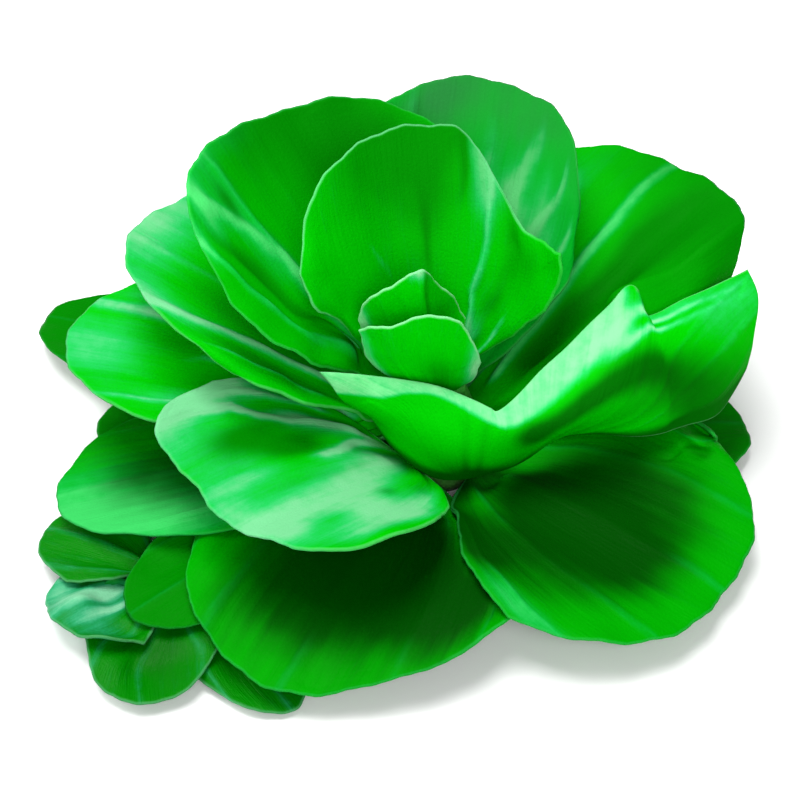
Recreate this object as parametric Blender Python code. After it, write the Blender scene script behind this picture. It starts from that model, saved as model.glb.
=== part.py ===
"""Water lettuce: a floating rosette of broad ribbed leaves, with a young offset plant on its runner.

Each leaf is one solid that grows from a short stem. The leaves stand steep around the heart of the
rosette, lean further out in each ring, and lie down flat in the lowest ring. Dimensions are in
millimetres, X to the right, Y away from the front, Z up, and the origin is the middle of the
stem's underside, where the plant rests on a surface.
"""

import math
from dataclasses import dataclass

import bpy
import numpy as np

MM = 0.001

# Air between pieces, and how a leaf is moved clear of its neighbours.
TOUCH_GAP = 0.35
PRESS_GAP = 1.2
PRESS_ROUNDS = 4
PRESS_DEPTH = 0.2
EDGE_MARGIN = 2.5
EDGE_FADE = 5.0

# Stems: widest a little above the foot, with a side that curves in to a narrow top.
STEM_RADIUS = 11.4
STEM_HEIGHT = 27.0
STEM_FOOT = 0.75
STEM_NARROWING = 0.75
STEM_CURVE = 1.6
STEM_RINGS = 6
STEM_SIDES = 16
OFFSET_PLACE = (-62.0, -38.0)
OFFSET_STEM_RADIUS = 3.6
OFFSET_STEM_HEIGHT = 6.0

# The runner and the roots lie on the surface, under the leaves.
RUNNER_RADIUS = 0.9
RUNNER_BOW = -5.0
RUNNER_POINTS = 9
ROOT_RADIUS = 0.95
ROOT_TIP_SHARE = 0.4
ROOT_POINTS = 7
ROOT_BOW = 0.35
ROOTS = [
    # Azimuth in degrees, reach, and how far the end lies to one side.
    (22, 38, 9),
    (64, 44, -7),
    (103, 36, 6),
    (138, 46, 8),
    (166, 40, -4),
    (190, 32, -6),
    (236, 42, -6),
    (262, 47, 5),
    (288, 39, 4),
    (312, 45, 7),
    (341, 35, -5),
]

# Leaf surfaces: rows and columns of points, and the shape that all leaves share.
LARGE = (10, 11)
LOW = (8, 9)
SMALL = (6, 7)
ROUND_END = 0.5
RIB_HEIGHT = 0.55
SMOOTH_ANGLE = 60.0

LEAF_GREEN = (0.02, 0.42, 0.03)
YOUNG_GREEN = (0.10, 0.58, 0.08)
SHADED_GREEN = (0.01, 0.25, 0.02)
STEM_GREEN = (0.12, 0.36, 0.06)
ROOT_BROWN = (0.22, 0.17, 0.08)


@dataclass
class Home:
    """What leaves grow from: its centre, its radius at the surface and its height."""

    place: tuple
    radius: float
    height: float = math.inf


HOMES = {
    "stem": Home((0.0, 0.0), STEM_RADIUS, STEM_HEIGHT),
    "offset": Home(OFFSET_PLACE, OFFSET_STEM_RADIUS, OFFSET_STEM_HEIGHT),
}


@dataclass
class Leaf:
    """One leaf. Angles are in degrees, and cups in radians from the midline to the side margin.

    azimuth: the way the leaf points, from +X towards +Y.
    height: of its base above the surface.
    rise: slope of the midline at the base and at the tip.
    cup: how far the base, the left side and the right side curl up, left as seen looking out.
    taper: below 1 the blade widens at once from its base, above 1 it widens later.
    roll: turn about the midline at the base and at the tip, the right side up.
    reach: the margin's distance, as a share, at even places from the left side to the right.
    thick: thickness at the base, in the middle of the blade and at the margin.
    over: names of leaves that this one lies on, where it lies under all others made before it.
    """

    name: str
    azimuth: float
    height: float
    length: float
    half_width: float
    rise: tuple
    cup: tuple = (1.0, 0.2, 0.2)
    taper: float = 1.2
    base_half_width: float = 4.0
    roll: tuple = (0.0, 0.0)
    reach: tuple = (1.0, 1.0, 1.0, 1.0, 1.0)
    thick: tuple = (2.0, 1.9, 1.0)
    home: str = "stem"
    stand_off: float = 0.0
    grid: tuple = LARGE
    over: tuple = ()
    colour: tuple = LEAF_GREEN


OUTER = dict(thick=(1.5, 1.5, 0.9), base_half_width=2.4, grid=LOW, colour=SHADED_GREEN)
OFFSET = dict(
    thick=(1.0, 1.1, 0.8), base_half_width=1.6, stand_off=0.4, home="offset", grid=SMALL
)

HEART_LEAVES = {
    # The heart: two young leaves, still rolled. Each is lofted through three lines, from its base
    # on top of the stem up to its rim, and each line goes from left to right.
    "heart_leaf_front": [
        [(-6.5, -2.5, 28.4), (-4.6, -3.3, 27.9), (-2.6, -3.8, 27.6), (-0.6, -4, 27.4),
         (1.4, -3.8, 27.4), (3, -3.3, 27.6), (4.5, -2.5, 28.2)],
        [(-15.8, -2.5, 35), (-11.5, -5, 38), (-7.5, -6.5, 40), (-3, -7, 41), (1.5, -6.5, 40),
         (5.5, -5, 37), (8, -3.5, 32)],
        [(-19.7, -2, 45.3), (-15, -4.8, 49), (-9, -7, 51.5), (-3, -8, 54), (3, -7.3, 52.5),
         (7, -5.5, 46), (9.2, -4.2, 37)],
    ],
    "heart_leaf_back": [
        [(-6, 1, 28.4), (-4.6, 0.4, 27.9), (-3.2, 0, 27.6), (-1.8, -0.3, 27.4), (-0.4, -0.4, 27.4),
         (0.8, 0.4, 27.4), (2, 1.5, 27.6), (3.2, 2.8, 28.2)],
        [(-15, 2.5, 35.5), (-12.8, 1.5, 40), (-10, 0.5, 43.5), (-7, -0.3, 45.5), (-3.6, -1.2, 47),
         (-0.6, 2.5, 42), (2, 4.5, 38), (4.5, 6, 34)],
        [(-19.7, 2.5, 44), (-17.3, 1.5, 51.5), (-13.8, 0.5, 55), (-9.8, 0, 56.8), (-5, -0.8, 61.8),
         (-0.8, 3.5, 55), (3, 6.5, 48.5), (6.2, 8.5, 40)],
    ],
}
HEART_GRID = (6, 11)
HEART_THICK = (1.6, 1.2, 0.8)

UPRIGHT_LEAF = Leaf(
    # The leaf that stands behind the heart.
    "upright_leaf", 97, 21, 62, 34, (80, 44), cup=(1.6, 0.5, 1.1), taper=1.3,
    reach=(1.0, 1.0, 1.0, 1.0, 1.0, 0.98, 0.79, 0.82, 1.06),
)

FOLDED_LEAF = {
    # The leaf that wraps round the front of the heart and spreads to the right, lofted through
    # four lines, from the edge next to the stem up to the free rim.
    "edge": [(-18.5, -4, 26), (-13.5, -6, 18), (-4, -12.5, 12), (5, -13, 10.5), (14, -12, 12.5),
             (29, -7, 18), (40.5, -9, 20), (50, -9, 20), (55, -7.5, 20), (65, -3, 21),
             (72, 6, 27)],
    "bulge": [(-20.5, -7, 29), (-13, -8.5, 25), (-3.5, -13, 24), (6, -16, 20), (15.5, -15, 20),
              (28.5, -12.5, 26), (41, -11, 29), (50, -7, 30), (54, -5, 30), (65, 0.5, 31.5),
              (74, 11, 33)],
    "crease": [(-25, -9.5, 35.5), (-15.5, -7, 30.5), (-3.5, -8.5, 31), (8.5, -14, 28.5),
               (17, -17, 28), (28.5, -15, 32), (40, -9.5, 38), (47.5, -2.5, 40.5),
               (52, 0, 40.5), (63, 8, 40), (75, 18, 38)],
    "rim": [(-28, -10.5, 40.5), (-17.5, -5, 34.6), (-2.5, -6.5, 33), (9.5, -11, 31), (14, -13, 31.5),
            (25, -3.5, 37), (38, 7, 44), (44.5, 13, 46.5), (46.5, 6.5, 42), (61.5, 15.5, 42.5),
            (74, 26, 41)],
}
FOLDED_GRID = (19, 8)

OUTER_LEAVES = [
    # The leaves that spread up and back.
    Leaf("back_left_leaf", 131, 18.6, 75, 40, (55, 37), cup=(1.4, 0.5, 0.6),
         reach=(1.04, 1.1, 1.09, 1.03, 1.0, 1.0, 1.0, 1.0, 1.0), over=("folded_leaf",)),
    Leaf("back_leaf", 82, 15.5, 80, 34, (53, 30), cup=(1.5, 0.5, 0.5),
         reach=(1.0, 1.0, 1.0, 1.0, 1.0, 1.0, 1.0, 0.95, 0.86)),
    Leaf("back_right_leaf", 40, 13, 83, 38, (42, 12), cup=(1.4, 0.4, 0.3), base_half_width=5,
         reach=(1.0, 1.0, 1.0, 1.04, 1.2), over=("folded_leaf",)),
    # The leaves that spread to the left.
    Leaf("upper_left_leaf", 152, 14.2, 79, 37, (40, 12), cup=(1.5, 0.4, 0.5), base_half_width=3.2,
         reach=(0.88, 0.97, 1.0, 0.95, 0.95)),
    Leaf("front_left_leaf", 222, 10.3, 67, 33, (33, -2), cup=(0.4, 0.4, 0.4), taper=0.55,
         reach=(1.0, 0.97, 0.91, 0.86, 0.86, 0.87, 0.98, 1.1, 1.04)),
    Leaf("left_leaf", 170.5, 11.8, 82, 27, (24, 2), cup=(1.3, 0.3, 0.4), roll=(2, 8),
         taper=1.5, base_half_width=2.4, reach=(1.0, 1.0, 1.0, 1.0, 0.9)),
    # The lowest ring, which lies on the surface.
    Leaf("lower_right_leaf", 323, 7.8, 69, 39, (8, -8), cup=(0.8, 0.15, 0.2), taper=0.82,
         base_half_width=5, reach=(1.0, 1.0, 0.985, 1.02, 1.05)),
    Leaf("lower_left_leaf", 192, 8.1, 81, 24, (8, -7), base_half_width=3.5, grid=LOW),
    Leaf("lower_front_leaf", 245, 7.4, 71.5, 39, (8, -8), cup=(0.8, 0.2, 0.2), taper=0.8,
         base_half_width=5, reach=(1.0, 0.93, 1.0, 1.0, 1.0)),
    Leaf("outer_front_left_leaf", 218, 4.6, 76, 19, (10, -6),
         reach=(1.0, 1.0, 1.0, 1.0, 0.93), **OUTER),
    Leaf("outer_left_leaf", 153, 4.4, 105, 22, (8, -7), taper=2.0, **OUTER),
    Leaf("outer_side_leaf", 176.5, 4.6, 73, 17.5, (5, -4), taper=2.5,
         reach=(1.0, 1.0, 1.0, 1.1, 1.2), **OUTER),
    Leaf("outer_right_leaf", 9, 4, 66, 25, (6, -6), **OUTER),
    Leaf("outer_back_right_leaf", 44, 4.4, 76, 26, (8, -8), **OUTER),
    Leaf("outer_back_leaf", 84, 4, 76, 26, (8, -8), **OUTER),
    Leaf("outer_back_left_leaf", 120, 4, 74, 23, (4, -5), **OUTER),
    # The offset plant.
    Leaf("offset_leaf_left", 156, 2.8, 29, 14, (16, -10), **OFFSET),
    Leaf("offset_leaf_front_left", 216, 5.2, 27, 16, (27, -15), **OFFSET),
    Leaf("offset_leaf_front", 266, 2.6, 34, 15, (11, -8), taper=2.6, **OFFSET),
    Leaf("offset_leaf_front_right", 308, 1.9, 44, 12, (2, -2), taper=2.0, **OFFSET),
]


def stem_radius(home, z):
    """A stem's radius at a height above the surface."""
    share = min(max(z / home.height, 0.0), 1.0)
    return home.radius * math.sqrt(1.0 - STEM_NARROWING * share**STEM_CURVE)


def smooth_through(values, places):
    """A smooth curve through evenly spaced values, read at places from 0 to 1."""
    values = np.array(values, float)
    slopes = np.gradient(values, axis=0)
    spot = np.asarray(places, float) * (len(values) - 1)
    cell = np.clip(np.floor(spot).astype(int), 0, len(values) - 2)
    part = (spot - cell).reshape(spot.shape + (1,) * (values.ndim - 1))
    return (
        values[cell] * (1 + 2 * part) * (1 - part) ** 2
        + values[cell + 1] * (3 - 2 * part) * part**2
        + slopes[cell] * part * (1 - part) ** 2
        - slopes[cell + 1] * part**2 * (1 - part)
    )


def from_middle(amounts):
    """Running sum along each row, counted from the middle column outwards."""
    steps = 0.5 * (amounts[:, 1:] + amounts[:, :-1])
    total = np.concatenate([np.zeros((len(amounts), 1)), np.cumsum(steps, axis=1)], axis=1)
    middle = amounts.shape[1] // 2
    return total - total[:, middle : middle + 1]


def midline(leaf, share):
    """Points and directions along a leaf's midline, where share 1 is one leaf length out."""
    azimuth = math.radians(leaf.azimuth)
    out = np.array([math.cos(azimuth), math.sin(azimuth), 0.0])
    up = np.array([0.0, 0.0, 1.0])
    stations = np.linspace(0.0, 1.5, 151)
    slope = np.radians(leaf.rise[0] + (leaf.rise[1] - leaf.rise[0]) * stations)
    ahead = np.cos(slope)[:, None] * out + np.sin(slope)[:, None] * up
    steps = 0.5 * (ahead[1:] + ahead[:-1]) * stations[1] * leaf.length
    path = np.concatenate([np.zeros((1, 3)), np.cumsum(steps, axis=0)])
    home = HOMES[leaf.home]
    distance = stem_radius(home, leaf.height - leaf.thick[0]) + TOUCH_GAP + leaf.stand_off
    path = path + out * distance + np.array([*home.place, leaf.height])
    at_share = [np.interp(share, stations, column) for column in (*path.T, *ahead.T)]
    return np.stack(at_share[:3], axis=-1), np.stack(at_share[3:], axis=-1)


def leaf_sheet(leaf):
    """The leaf's upper surface as rows from base to tip and columns from left to right.

    The flat outline widens from the base and ends in half an ellipse. It is then bent along its
    midline by rise, curled across by cup and pleated by ribs that fan out from the base.
    """
    along = np.linspace(0.0, 1.0, leaf.grid[0])[:, None]
    across = np.linspace(-1.0, 1.0, leaf.grid[1])[None, :]
    side = np.sin(0.5 * np.pi * across)
    arc = np.cos(0.5 * np.pi * across)
    reach = 1.0 + (smooth_through(leaf.reach, 0.5 * (across + 1.0)) - 1.0) * along**2
    widening = np.sin(0.5 * np.pi * along) ** leaf.taper
    half = leaf.base_half_width + (leaf.half_width - leaf.base_half_width) * widening
    flat_x = half * side * reach
    share = ((1 - ROUND_END) * along + ROUND_END * along**2 * arc) * reach

    base_curl = leaf.cup[0] / leaf.half_width
    side_curl = np.where(across < 0, leaf.cup[1], leaf.cup[2]) / leaf.half_width
    curl = base_curl + (side_curl - base_curl) * np.clip(share, 0.0, 1.0) ** 0.6
    step = np.gradient(flat_x, axis=1)
    angle = from_middle(curl * step)
    sideways = from_middle(np.cos(angle) * step)
    raised = from_middle(np.sin(angle) * step)
    fade = np.sin(np.pi * np.clip(along, 0.0, 1.0) ** 0.8) ** 0.7 * (1 - across**4)
    ribs = leaf.grid[1] // 2
    raised = raised + RIB_HEIGHT * fade * np.cos(np.pi * ribs * across)

    middle, ahead = midline(leaf, share)
    azimuth = math.radians(leaf.azimuth)
    right = np.array([math.sin(azimuth), -math.cos(azimuth), 0.0])
    over = np.cross(right, ahead)
    turn = np.radians(leaf.roll[0] + (leaf.roll[1] - leaf.roll[0]) * share)[..., None]
    rolled_right = right * np.cos(turn) + over * np.sin(turn)
    rolled_over = over * np.cos(turn) - right * np.sin(turn)
    return middle + rolled_right * sideways[..., None] + rolled_over * raised[..., None]


def blade_thickness(grid, thick):
    """Thickness: fleshy at the base, thinner in the blade and thinnest at the margin."""
    along = np.linspace(0.0, 1.0, grid[0])[:, None]
    across = np.linspace(-1.0, 1.0, grid[1])[None, :]
    base, middle, margin = thick
    blade = margin + (middle - margin) * (1 - across**2) * (1 - along**3)
    return blade + (base - middle) * (1 - along) ** 3 * (1 - 0.7 * across**2)


def lofted(lines, rows, columns):
    """A grid of points through lines: smooth along each line, then smooth from line to line."""
    along = np.linspace(0.0, 1.0, columns)
    return smooth_through([smooth_through(line, along) for line in lines], np.linspace(0, 1, rows))


def folded_sheet():
    """The folded leaf's inner face, as rows from left to right and columns from edge to rim."""
    return lofted(FOLDED_LEAF.values(), FOLDED_GRID[1], FOLDED_GRID[0]).transpose(1, 0, 2)


def folded_thickness():
    """Thickness of the folded leaf: fleshy where it leaves the stem, thin at the free rim."""
    along = np.linspace(0.0, 1.0, FOLDED_GRID[0])[:, None]
    up = np.linspace(0.0, 1.0, FOLDED_GRID[1])[None, :]
    near_stem = np.exp(-(((along - 0.3) / 0.16) ** 2))
    return 1.0 + 0.7 * np.sin(np.pi * up) + near_stem * (1 - up)


def sheet_normals(sheet):
    """Unit normals of a grid of points, on the leaf's upper side."""
    normal = np.cross(np.gradient(sheet, axis=1), np.gradient(sheet, axis=0))
    return normal / np.linalg.norm(normal, axis=-1, keepdims=True)


def refined(sheet, times):
    """The same surface with more points, smooth along its columns and then its rows."""
    rows, columns = sheet.shape[:2]
    down = np.linspace(0.0, 1.0, (rows - 1) * times + 1)
    over = np.linspace(0.0, 1.0, (columns - 1) * times + 1)
    taller = smooth_through(sheet, down)
    return smooth_through(taller.transpose(1, 0, 2), over).transpose(1, 0, 2)


def dense(sheet, thickness):
    """A sheet's points, normals and thickness, close together, as flat lists."""
    fine = refined(sheet, 3)
    thick = refined(thickness[..., None], 3)
    return fine.reshape(-1, 3), sheet_normals(fine).reshape(-1, 3), thick.reshape(-1)


def pressed_clear(leaf, sheet, own, others):
    """Moves a sheet's points until it no longer cuts the leaves made before it.

    Each point is compared with the nearest point of the other leaf and moved along that leaf's
    normal, down to lie under its lower face, or up to lie on its upper face. The move fades out
    past the other leaf's edge and near the stem.
    """
    home = HOMES[leaf.home]
    from_home = np.linalg.norm(sheet[..., :2] - home.place, axis=-1).reshape(-1)
    free = np.clip((from_home / home.radius - 1.05) / 0.8, 0.0, 1.0)
    depth = PRESS_DEPTH * np.linalg.norm(sheet[..., :2], axis=-1).reshape(-1)
    for _ in range(PRESS_ROUNDS):
        for name, points, normals, thickness in others:
            apart = sheet.reshape(-1, 1, 3) - points
            nearest = np.argmin((apart**2).sum(axis=-1), axis=1)
            offset = apart[np.arange(len(nearest)), nearest]
            normal = normals[nearest]
            above = (offset * normal).sum(axis=-1)
            beside = np.linalg.norm(offset - above[:, None] * normal, axis=-1)
            ease = np.clip(1.0 - (beside - EDGE_MARGIN) / EDGE_FADE, 0.0, 1.0)
            if name in leaf.over:
                move = np.clip(own.reshape(-1) + PRESS_GAP - above, 0.0, None) * (above > -depth)
            else:
                move = -np.clip(above + thickness[nearest] + PRESS_GAP, 0.0, None)
                move = move * (above < depth)
            sheet = sheet + ((move * ease * free)[:, None] * normal).reshape(sheet.shape)
    return sheet


def plain_material(name, colour, roughness):
    """A Principled material of one colour."""
    material = bpy.data.materials.new(name)
    material.use_nodes = True
    shader = material.node_tree.nodes["Principled BSDF"]
    shader.inputs["Base Color"].default_value = (*colour, 1.0)
    shader.inputs["Roughness"].default_value = roughness
    shader.inputs["Metallic"].default_value = 0.0
    return material


def add_object(name, data, place, parent, colour, roughness):
    """Puts a piece at its place on the plant that it belongs to, with its own material."""
    data.materials.append(plain_material(f"{name}_material", colour, roughness))
    made = bpy.data.objects.new(name, data)
    bpy.context.scene.collection.objects.link(made)
    made.parent = parent
    made.location = (np.array(place) * MM).tolist()
    return made


def make_plant(name, place):
    """An empty that one plant's pieces hang from, at the middle of its stem's underside."""
    plant = bpy.data.objects.new(name, None)
    bpy.context.scene.collection.objects.link(plant)
    plant.location = (place[0] * MM, place[1] * MM, 0.0)
    return plant


def make_leaf(name, sheet, thickness, plant, colour):
    """One leaf: the sheet as a mesh with its origin at the leaf's base, made solid downwards."""
    base = sheet[0, sheet.shape[1] // 2]
    index = np.arange(sheet.shape[0] * sheet.shape[1]).reshape(sheet.shape[:2])
    faces = np.stack([index[:-1, :-1], index[:-1, 1:], index[1:, 1:], index[1:, :-1]], axis=-1)
    mesh = bpy.data.meshes.new(name)
    points = (sheet - base).reshape(-1, 3) * MM
    mesh.from_pydata(points.tolist(), [], faces.reshape(-1, 4).tolist())
    mesh.shade_smooth()
    mesh.set_sharp_from_angle(angle=math.radians(SMOOTH_ANGLE))
    place = base - np.array(plant.location) / MM
    leaf = add_object(name, mesh, place, plant, colour, 0.55)
    group = leaf.vertex_groups.new(name="thickness")
    thickest = thickness.max()
    for number, share in enumerate((thickness / thickest).reshape(-1).tolist()):
        group.add([number], share, "REPLACE")
    solid = leaf.modifiers.new("Solidify", "SOLIDIFY")
    solid.thickness = thickest * MM
    solid.offset = -1.0
    solid.vertex_group = group.name
    solid.use_quality_normals = True


def grow(leaf, plants, made):
    """Makes one leaf, moved clear of those made before it and off the surface."""
    thickness = blade_thickness(leaf.grid, leaf.thick)
    sheet = pressed_clear(leaf, leaf_sheet(leaf), thickness, made)
    sheet[..., 2] = np.maximum(sheet[..., 2], thickness + TOUCH_GAP)
    made.append((leaf.name, *dense(sheet, thickness)))
    make_leaf(leaf.name, sheet, thickness, plants[leaf.home], leaf.colour)


def make_leaves(plants):
    """Every leaf, from the heart outwards, each one moved clear of those made before it."""
    made = []
    for name, lines in HEART_LEAVES.items():
        sheet = lofted(lines, *HEART_GRID)
        thickness = blade_thickness(HEART_GRID, HEART_THICK)
        made.append((name, *dense(sheet, thickness)))
        make_leaf(name, sheet, thickness, plants["stem"], YOUNG_GREEN)

    grow(UPRIGHT_LEAF, plants, made)
    made.append(("folded_leaf", *dense(folded_sheet(), folded_thickness())))
    make_leaf("folded_leaf", folded_sheet(), folded_thickness(), plants["stem"], YOUNG_GREEN)
    for leaf in OUTER_LEAVES:
        grow(leaf, plants, made)


def make_stem(name, home, plant):
    """A short stem: a profile from the middle of its top to the middle of its foot, turned."""
    levels = np.linspace(home.height, 0.0, STEM_RINGS + 1)[:-1]
    profile = [(0.0, home.height)]
    profile += [(stem_radius(home, z), z) for z in levels]
    profile += [(STEM_FOOT * home.radius, 0.0), (0.0, 0.0)]
    mesh = bpy.data.meshes.new(name)
    points = [(r * MM, 0.0, z * MM) for r, z in profile]
    mesh.from_pydata(points, [(i, i + 1) for i in range(len(points) - 1)], [])
    stem = add_object(name, mesh, (0.0, 0.0, 0.0), plant, STEM_GREEN, 0.6)
    turned = stem.modifiers.new("Screw", "SCREW")
    turned.steps = STEM_SIDES
    turned.render_steps = STEM_SIDES
    turned.use_merge_vertices = True
    turned.merge_threshold = 0.00005
    turned.use_smooth_shade = True


def make_tube(name, line, shares, radius, plant, colour):
    """A round tube along a line of points, with closed ends and its radius shared out by point."""
    curve = bpy.data.curves.new(name, "CURVE")
    curve.dimensions = "3D"
    curve.bevel_depth = radius * MM
    curve.bevel_resolution = 1
    curve.use_fill_caps = True
    spline = curve.splines.new("POLY")
    spline.points.add(len(line) - 1)
    for point, place, share in zip(spline.points, line, shares):
        point.co = (place[0] * MM, place[1] * MM, place[2] * MM, 1.0)
        point.radius = share
    add_object(name, curve, (0.0, 0.0, 0.0), plant, colour, 0.7)


def bowed_line(start, end, bow, count):
    """Points from start to end along a shallow arc that lies bow to one side at its middle."""
    along = np.linspace(0.0, 1.0, count)[:, None]
    straight = end - start
    sideways = np.array([-straight[1], straight[0]]) / np.linalg.norm(straight)
    return start + straight * along + sideways * bow * 4 * along * (1 - along)


def make_runner(plant):
    """The runner that joins the offset plant's stem to the main stem."""
    middle = np.array(OFFSET_PLACE)
    toward = middle / np.linalg.norm(middle)
    start = toward * (STEM_RADIUS + TOUCH_GAP)
    end = middle - toward * (OFFSET_STEM_RADIUS + TOUCH_GAP)
    flat = bowed_line(start, end, RUNNER_BOW, RUNNER_POINTS)
    line = np.column_stack([flat, np.full(RUNNER_POINTS, RUNNER_RADIUS + TOUCH_GAP)])
    make_tube("runner", line, np.ones(RUNNER_POINTS), RUNNER_RADIUS, plant, STEM_GREEN)


def make_roots(plant):
    """Roots that lie on the surface round the stem's foot, thinner towards their ends."""
    shares = np.linspace(1.0, ROOT_TIP_SHARE, ROOT_POINTS)
    for number, (azimuth, reach, bend) in enumerate(ROOTS, start=1):
        out = np.array([math.cos(math.radians(azimuth)), math.sin(math.radians(azimuth))])
        side = np.array([-out[1], out[0]])
        start = out * (STEM_RADIUS + TOUCH_GAP)
        flat = bowed_line(start, out * reach + side * bend, ROOT_BOW * bend, ROOT_POINTS)
        line = np.column_stack([flat, ROOT_RADIUS * shares + TOUCH_GAP])
        make_tube(f"root_{number}", line, shares, ROOT_RADIUS, plant, ROOT_BROWN)


def main():
    for old in list(bpy.data.objects):
        bpy.data.objects.remove(old)
    rosette = make_plant("rosette", (0.0, 0.0))
    offset = make_plant("offset_plant", OFFSET_PLACE)
    make_leaves({"stem": rosette, "offset": offset})
    make_stem("stem", HOMES["stem"], rosette)
    make_stem("offset_stem", HOMES["offset"], offset)
    make_runner(rosette)
    make_roots(rosette)


main()
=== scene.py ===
import math
from dataclasses import dataclass

import bpy
import numpy as np
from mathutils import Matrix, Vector


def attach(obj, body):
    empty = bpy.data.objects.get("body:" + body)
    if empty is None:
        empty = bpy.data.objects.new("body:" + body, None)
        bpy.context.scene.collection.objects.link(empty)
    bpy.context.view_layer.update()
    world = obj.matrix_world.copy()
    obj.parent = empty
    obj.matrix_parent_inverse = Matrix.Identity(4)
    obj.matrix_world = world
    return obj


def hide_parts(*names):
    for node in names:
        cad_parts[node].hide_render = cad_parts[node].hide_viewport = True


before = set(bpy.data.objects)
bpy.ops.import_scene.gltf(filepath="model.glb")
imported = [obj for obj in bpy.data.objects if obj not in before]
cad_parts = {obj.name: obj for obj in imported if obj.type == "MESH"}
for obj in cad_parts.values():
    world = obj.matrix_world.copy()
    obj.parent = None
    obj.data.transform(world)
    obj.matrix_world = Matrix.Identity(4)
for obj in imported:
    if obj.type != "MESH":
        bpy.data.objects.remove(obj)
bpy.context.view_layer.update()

MM = 0.001


# The stem. A water lettuce has one short, upright stem of green flesh, and every leaf and root
# grows straight from it. It is ringed by the scars of old leaves, and brown at the foot, painted
# nearly black there as shade under the leaves.
STEM_RADIUS = 11.4
STEM_HEIGHT = 27.0
STEM_FOOT = 0.75
STEM_FOOT_HEIGHT = 0.16
STEM_NARROWING = 0.75
STEM_CURVE = 1.6
STEM_RINGS = 60
STEM_SIDES = 72
SCAR_DEPTH = 0.25
SCAR_SPACING = 3.4
SCAR_WAVE = 0.35


class Wire:
    """A value in a material's node tree. Plain sums on wires and numbers add nodes that do sums."""

    def __init__(self, shader, socket):
        self.shader = shader
        self.socket = socket

    def maths(self, operation, first, second):
        """What a node makes of two values: their sum, difference or product."""
        return self.shader.node("ShaderNodeMath", {"operation": operation}, {0: first, 1: second})

    def __add__(self, other):
        return self.maths("ADD", self, other)

    def __sub__(self, other):
        return self.maths("SUBTRACT", self, other)

    def __mul__(self, other):
        return self.maths("MULTIPLY", self, other)

    __radd__ = __add__


class Shader:
    """A Principled material that is wired up in Python."""

    def __init__(self, name, **constants):
        self.material = bpy.data.materials.new(name)
        self.material.use_nodes = True
        self.tree = self.material.node_tree
        self.surface = self.tree.nodes["Principled BSDF"]
        for socket, value in constants.items():
            self.surface.inputs[socket.replace("_", " ")].default_value = value

    def node(self, kind, settings=None, values=None, output=0):
        """Adds a node: its settings first, then numbers or wires by socket, and gives one output."""
        made = self.tree.nodes.new(kind)
        for key, value in (settings or {}).items():
            setattr(made, key, value)
        for key, value in (values or {}).items():
            if isinstance(value, Wire):
                self.tree.links.new(value.socket, made.inputs[key])
            else:
                made.inputs[key].default_value = value
        return Wire(self, made.outputs[output])

    def fact(self, name):
        """A number stored on the mesh's points."""
        return self.node("ShaderNodeAttribute", {"attribute_name": name}, output="Fac")

    def places(self):
        """The piece's own coordinates, in metres."""
        return self.node("ShaderNodeTexCoord", output="Object")

    def noise(self, where, scale, detail, roughness=0.5):
        """Smooth noise from about 0.25 to 0.75 with scale lumps to the metre."""
        values = {"Vector": where, "Scale": scale, "Detail": detail, "Roughness": roughness}
        return self.node("ShaderNodeTexNoise", None, values)

    def step(self, value, low, high, out_low=0.0, out_high=1.0):
        """Goes smoothly from out_low where value is low to out_high where it is high."""
        values = {0: value, 1: low, 2: high, 3: out_low, 4: out_high}
        return self.node("ShaderNodeMapRange", {"interpolation_type": "SMOOTHSTEP"}, values)

    def mix(self, share, first, second):
        """From the first colour at share 0 to the second at share 1."""
        values = {0: share, 6: first, 7: second}
        return self.node("ShaderNodeMix", {"data_type": "RGBA"}, values, output=2)

    def ramp(self, value, stops):
        """The colour at value along a row of stops, each a place from 0 to 1 and a colour."""
        picked = self.node("ShaderNodeValToRGB", None, {0: value})
        elements = picked.socket.node.color_ramp.elements
        while len(elements) < len(stops):
            elements.new(1.0)
        for element, (place, colour) in zip(elements, stops):
            element.position = place
            element.color = opaque(*colour)
        return picked

    def wire(self, **sockets):
        """Joins wires to sockets of the surface."""
        for name, value in sockets.items():
            self.tree.links.new(value.socket, self.surface.inputs[name.replace("_", " ")])

    def bump(self, height, distance):
        """Bumps from a height that goes from 0 to 1, where 1 is distance metres."""
        self.wire(Normal=self.node("ShaderNodeBump", None, {"Height": height, "Distance": distance}))


def opaque(*colour):
    """A colour's three parts and full cover."""
    return (*colour, 1.0)


def put_mesh(name, points, faces, facts, finish):
    """A smooth mesh object at the origin, from points in millimetres, with numbers on its points.

    A four-sided face whose last corner repeats its first is a triangle.
    """
    kept = np.ones(faces.shape, bool)
    kept[:, -1] = faces[:, -1] != faces[:, 0]
    corners = faces[kept].astype(np.int32)
    sizes = kept.sum(axis=1)
    mesh = bpy.data.meshes.new(name)
    mesh.vertices.add(len(points))
    mesh.vertices.foreach_set("co", (points * MM).astype(np.float32).ravel())
    mesh.loops.add(len(corners))
    mesh.loops.foreach_set("vertex_index", corners)
    mesh.polygons.add(len(faces))
    mesh.polygons.foreach_set("loop_start", (np.cumsum(sizes) - sizes).astype(np.int32))
    mesh.update(calc_edges=True)
    mesh.validate()
    mesh.shade_smooth()
    for key, values in facts.items():
        layer = mesh.attributes.new(key, "FLOAT", "POINT")
        layer.data.foreach_set("value", values.astype(np.float32).ravel())
    mesh.materials.append(finish)
    made = bpy.data.objects.new(name, mesh)
    bpy.context.scene.collection.objects.link(made)
    return made


def grid_faces(index):
    """The four-sided faces of grids of point numbers, facing columns x rows."""
    corners = [index[..., :-1, :-1], index[..., :-1, 1:], index[..., 1:, 1:], index[..., 1:, :-1]]
    return np.stack(corners, axis=-1).reshape(-1, 4)


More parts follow.
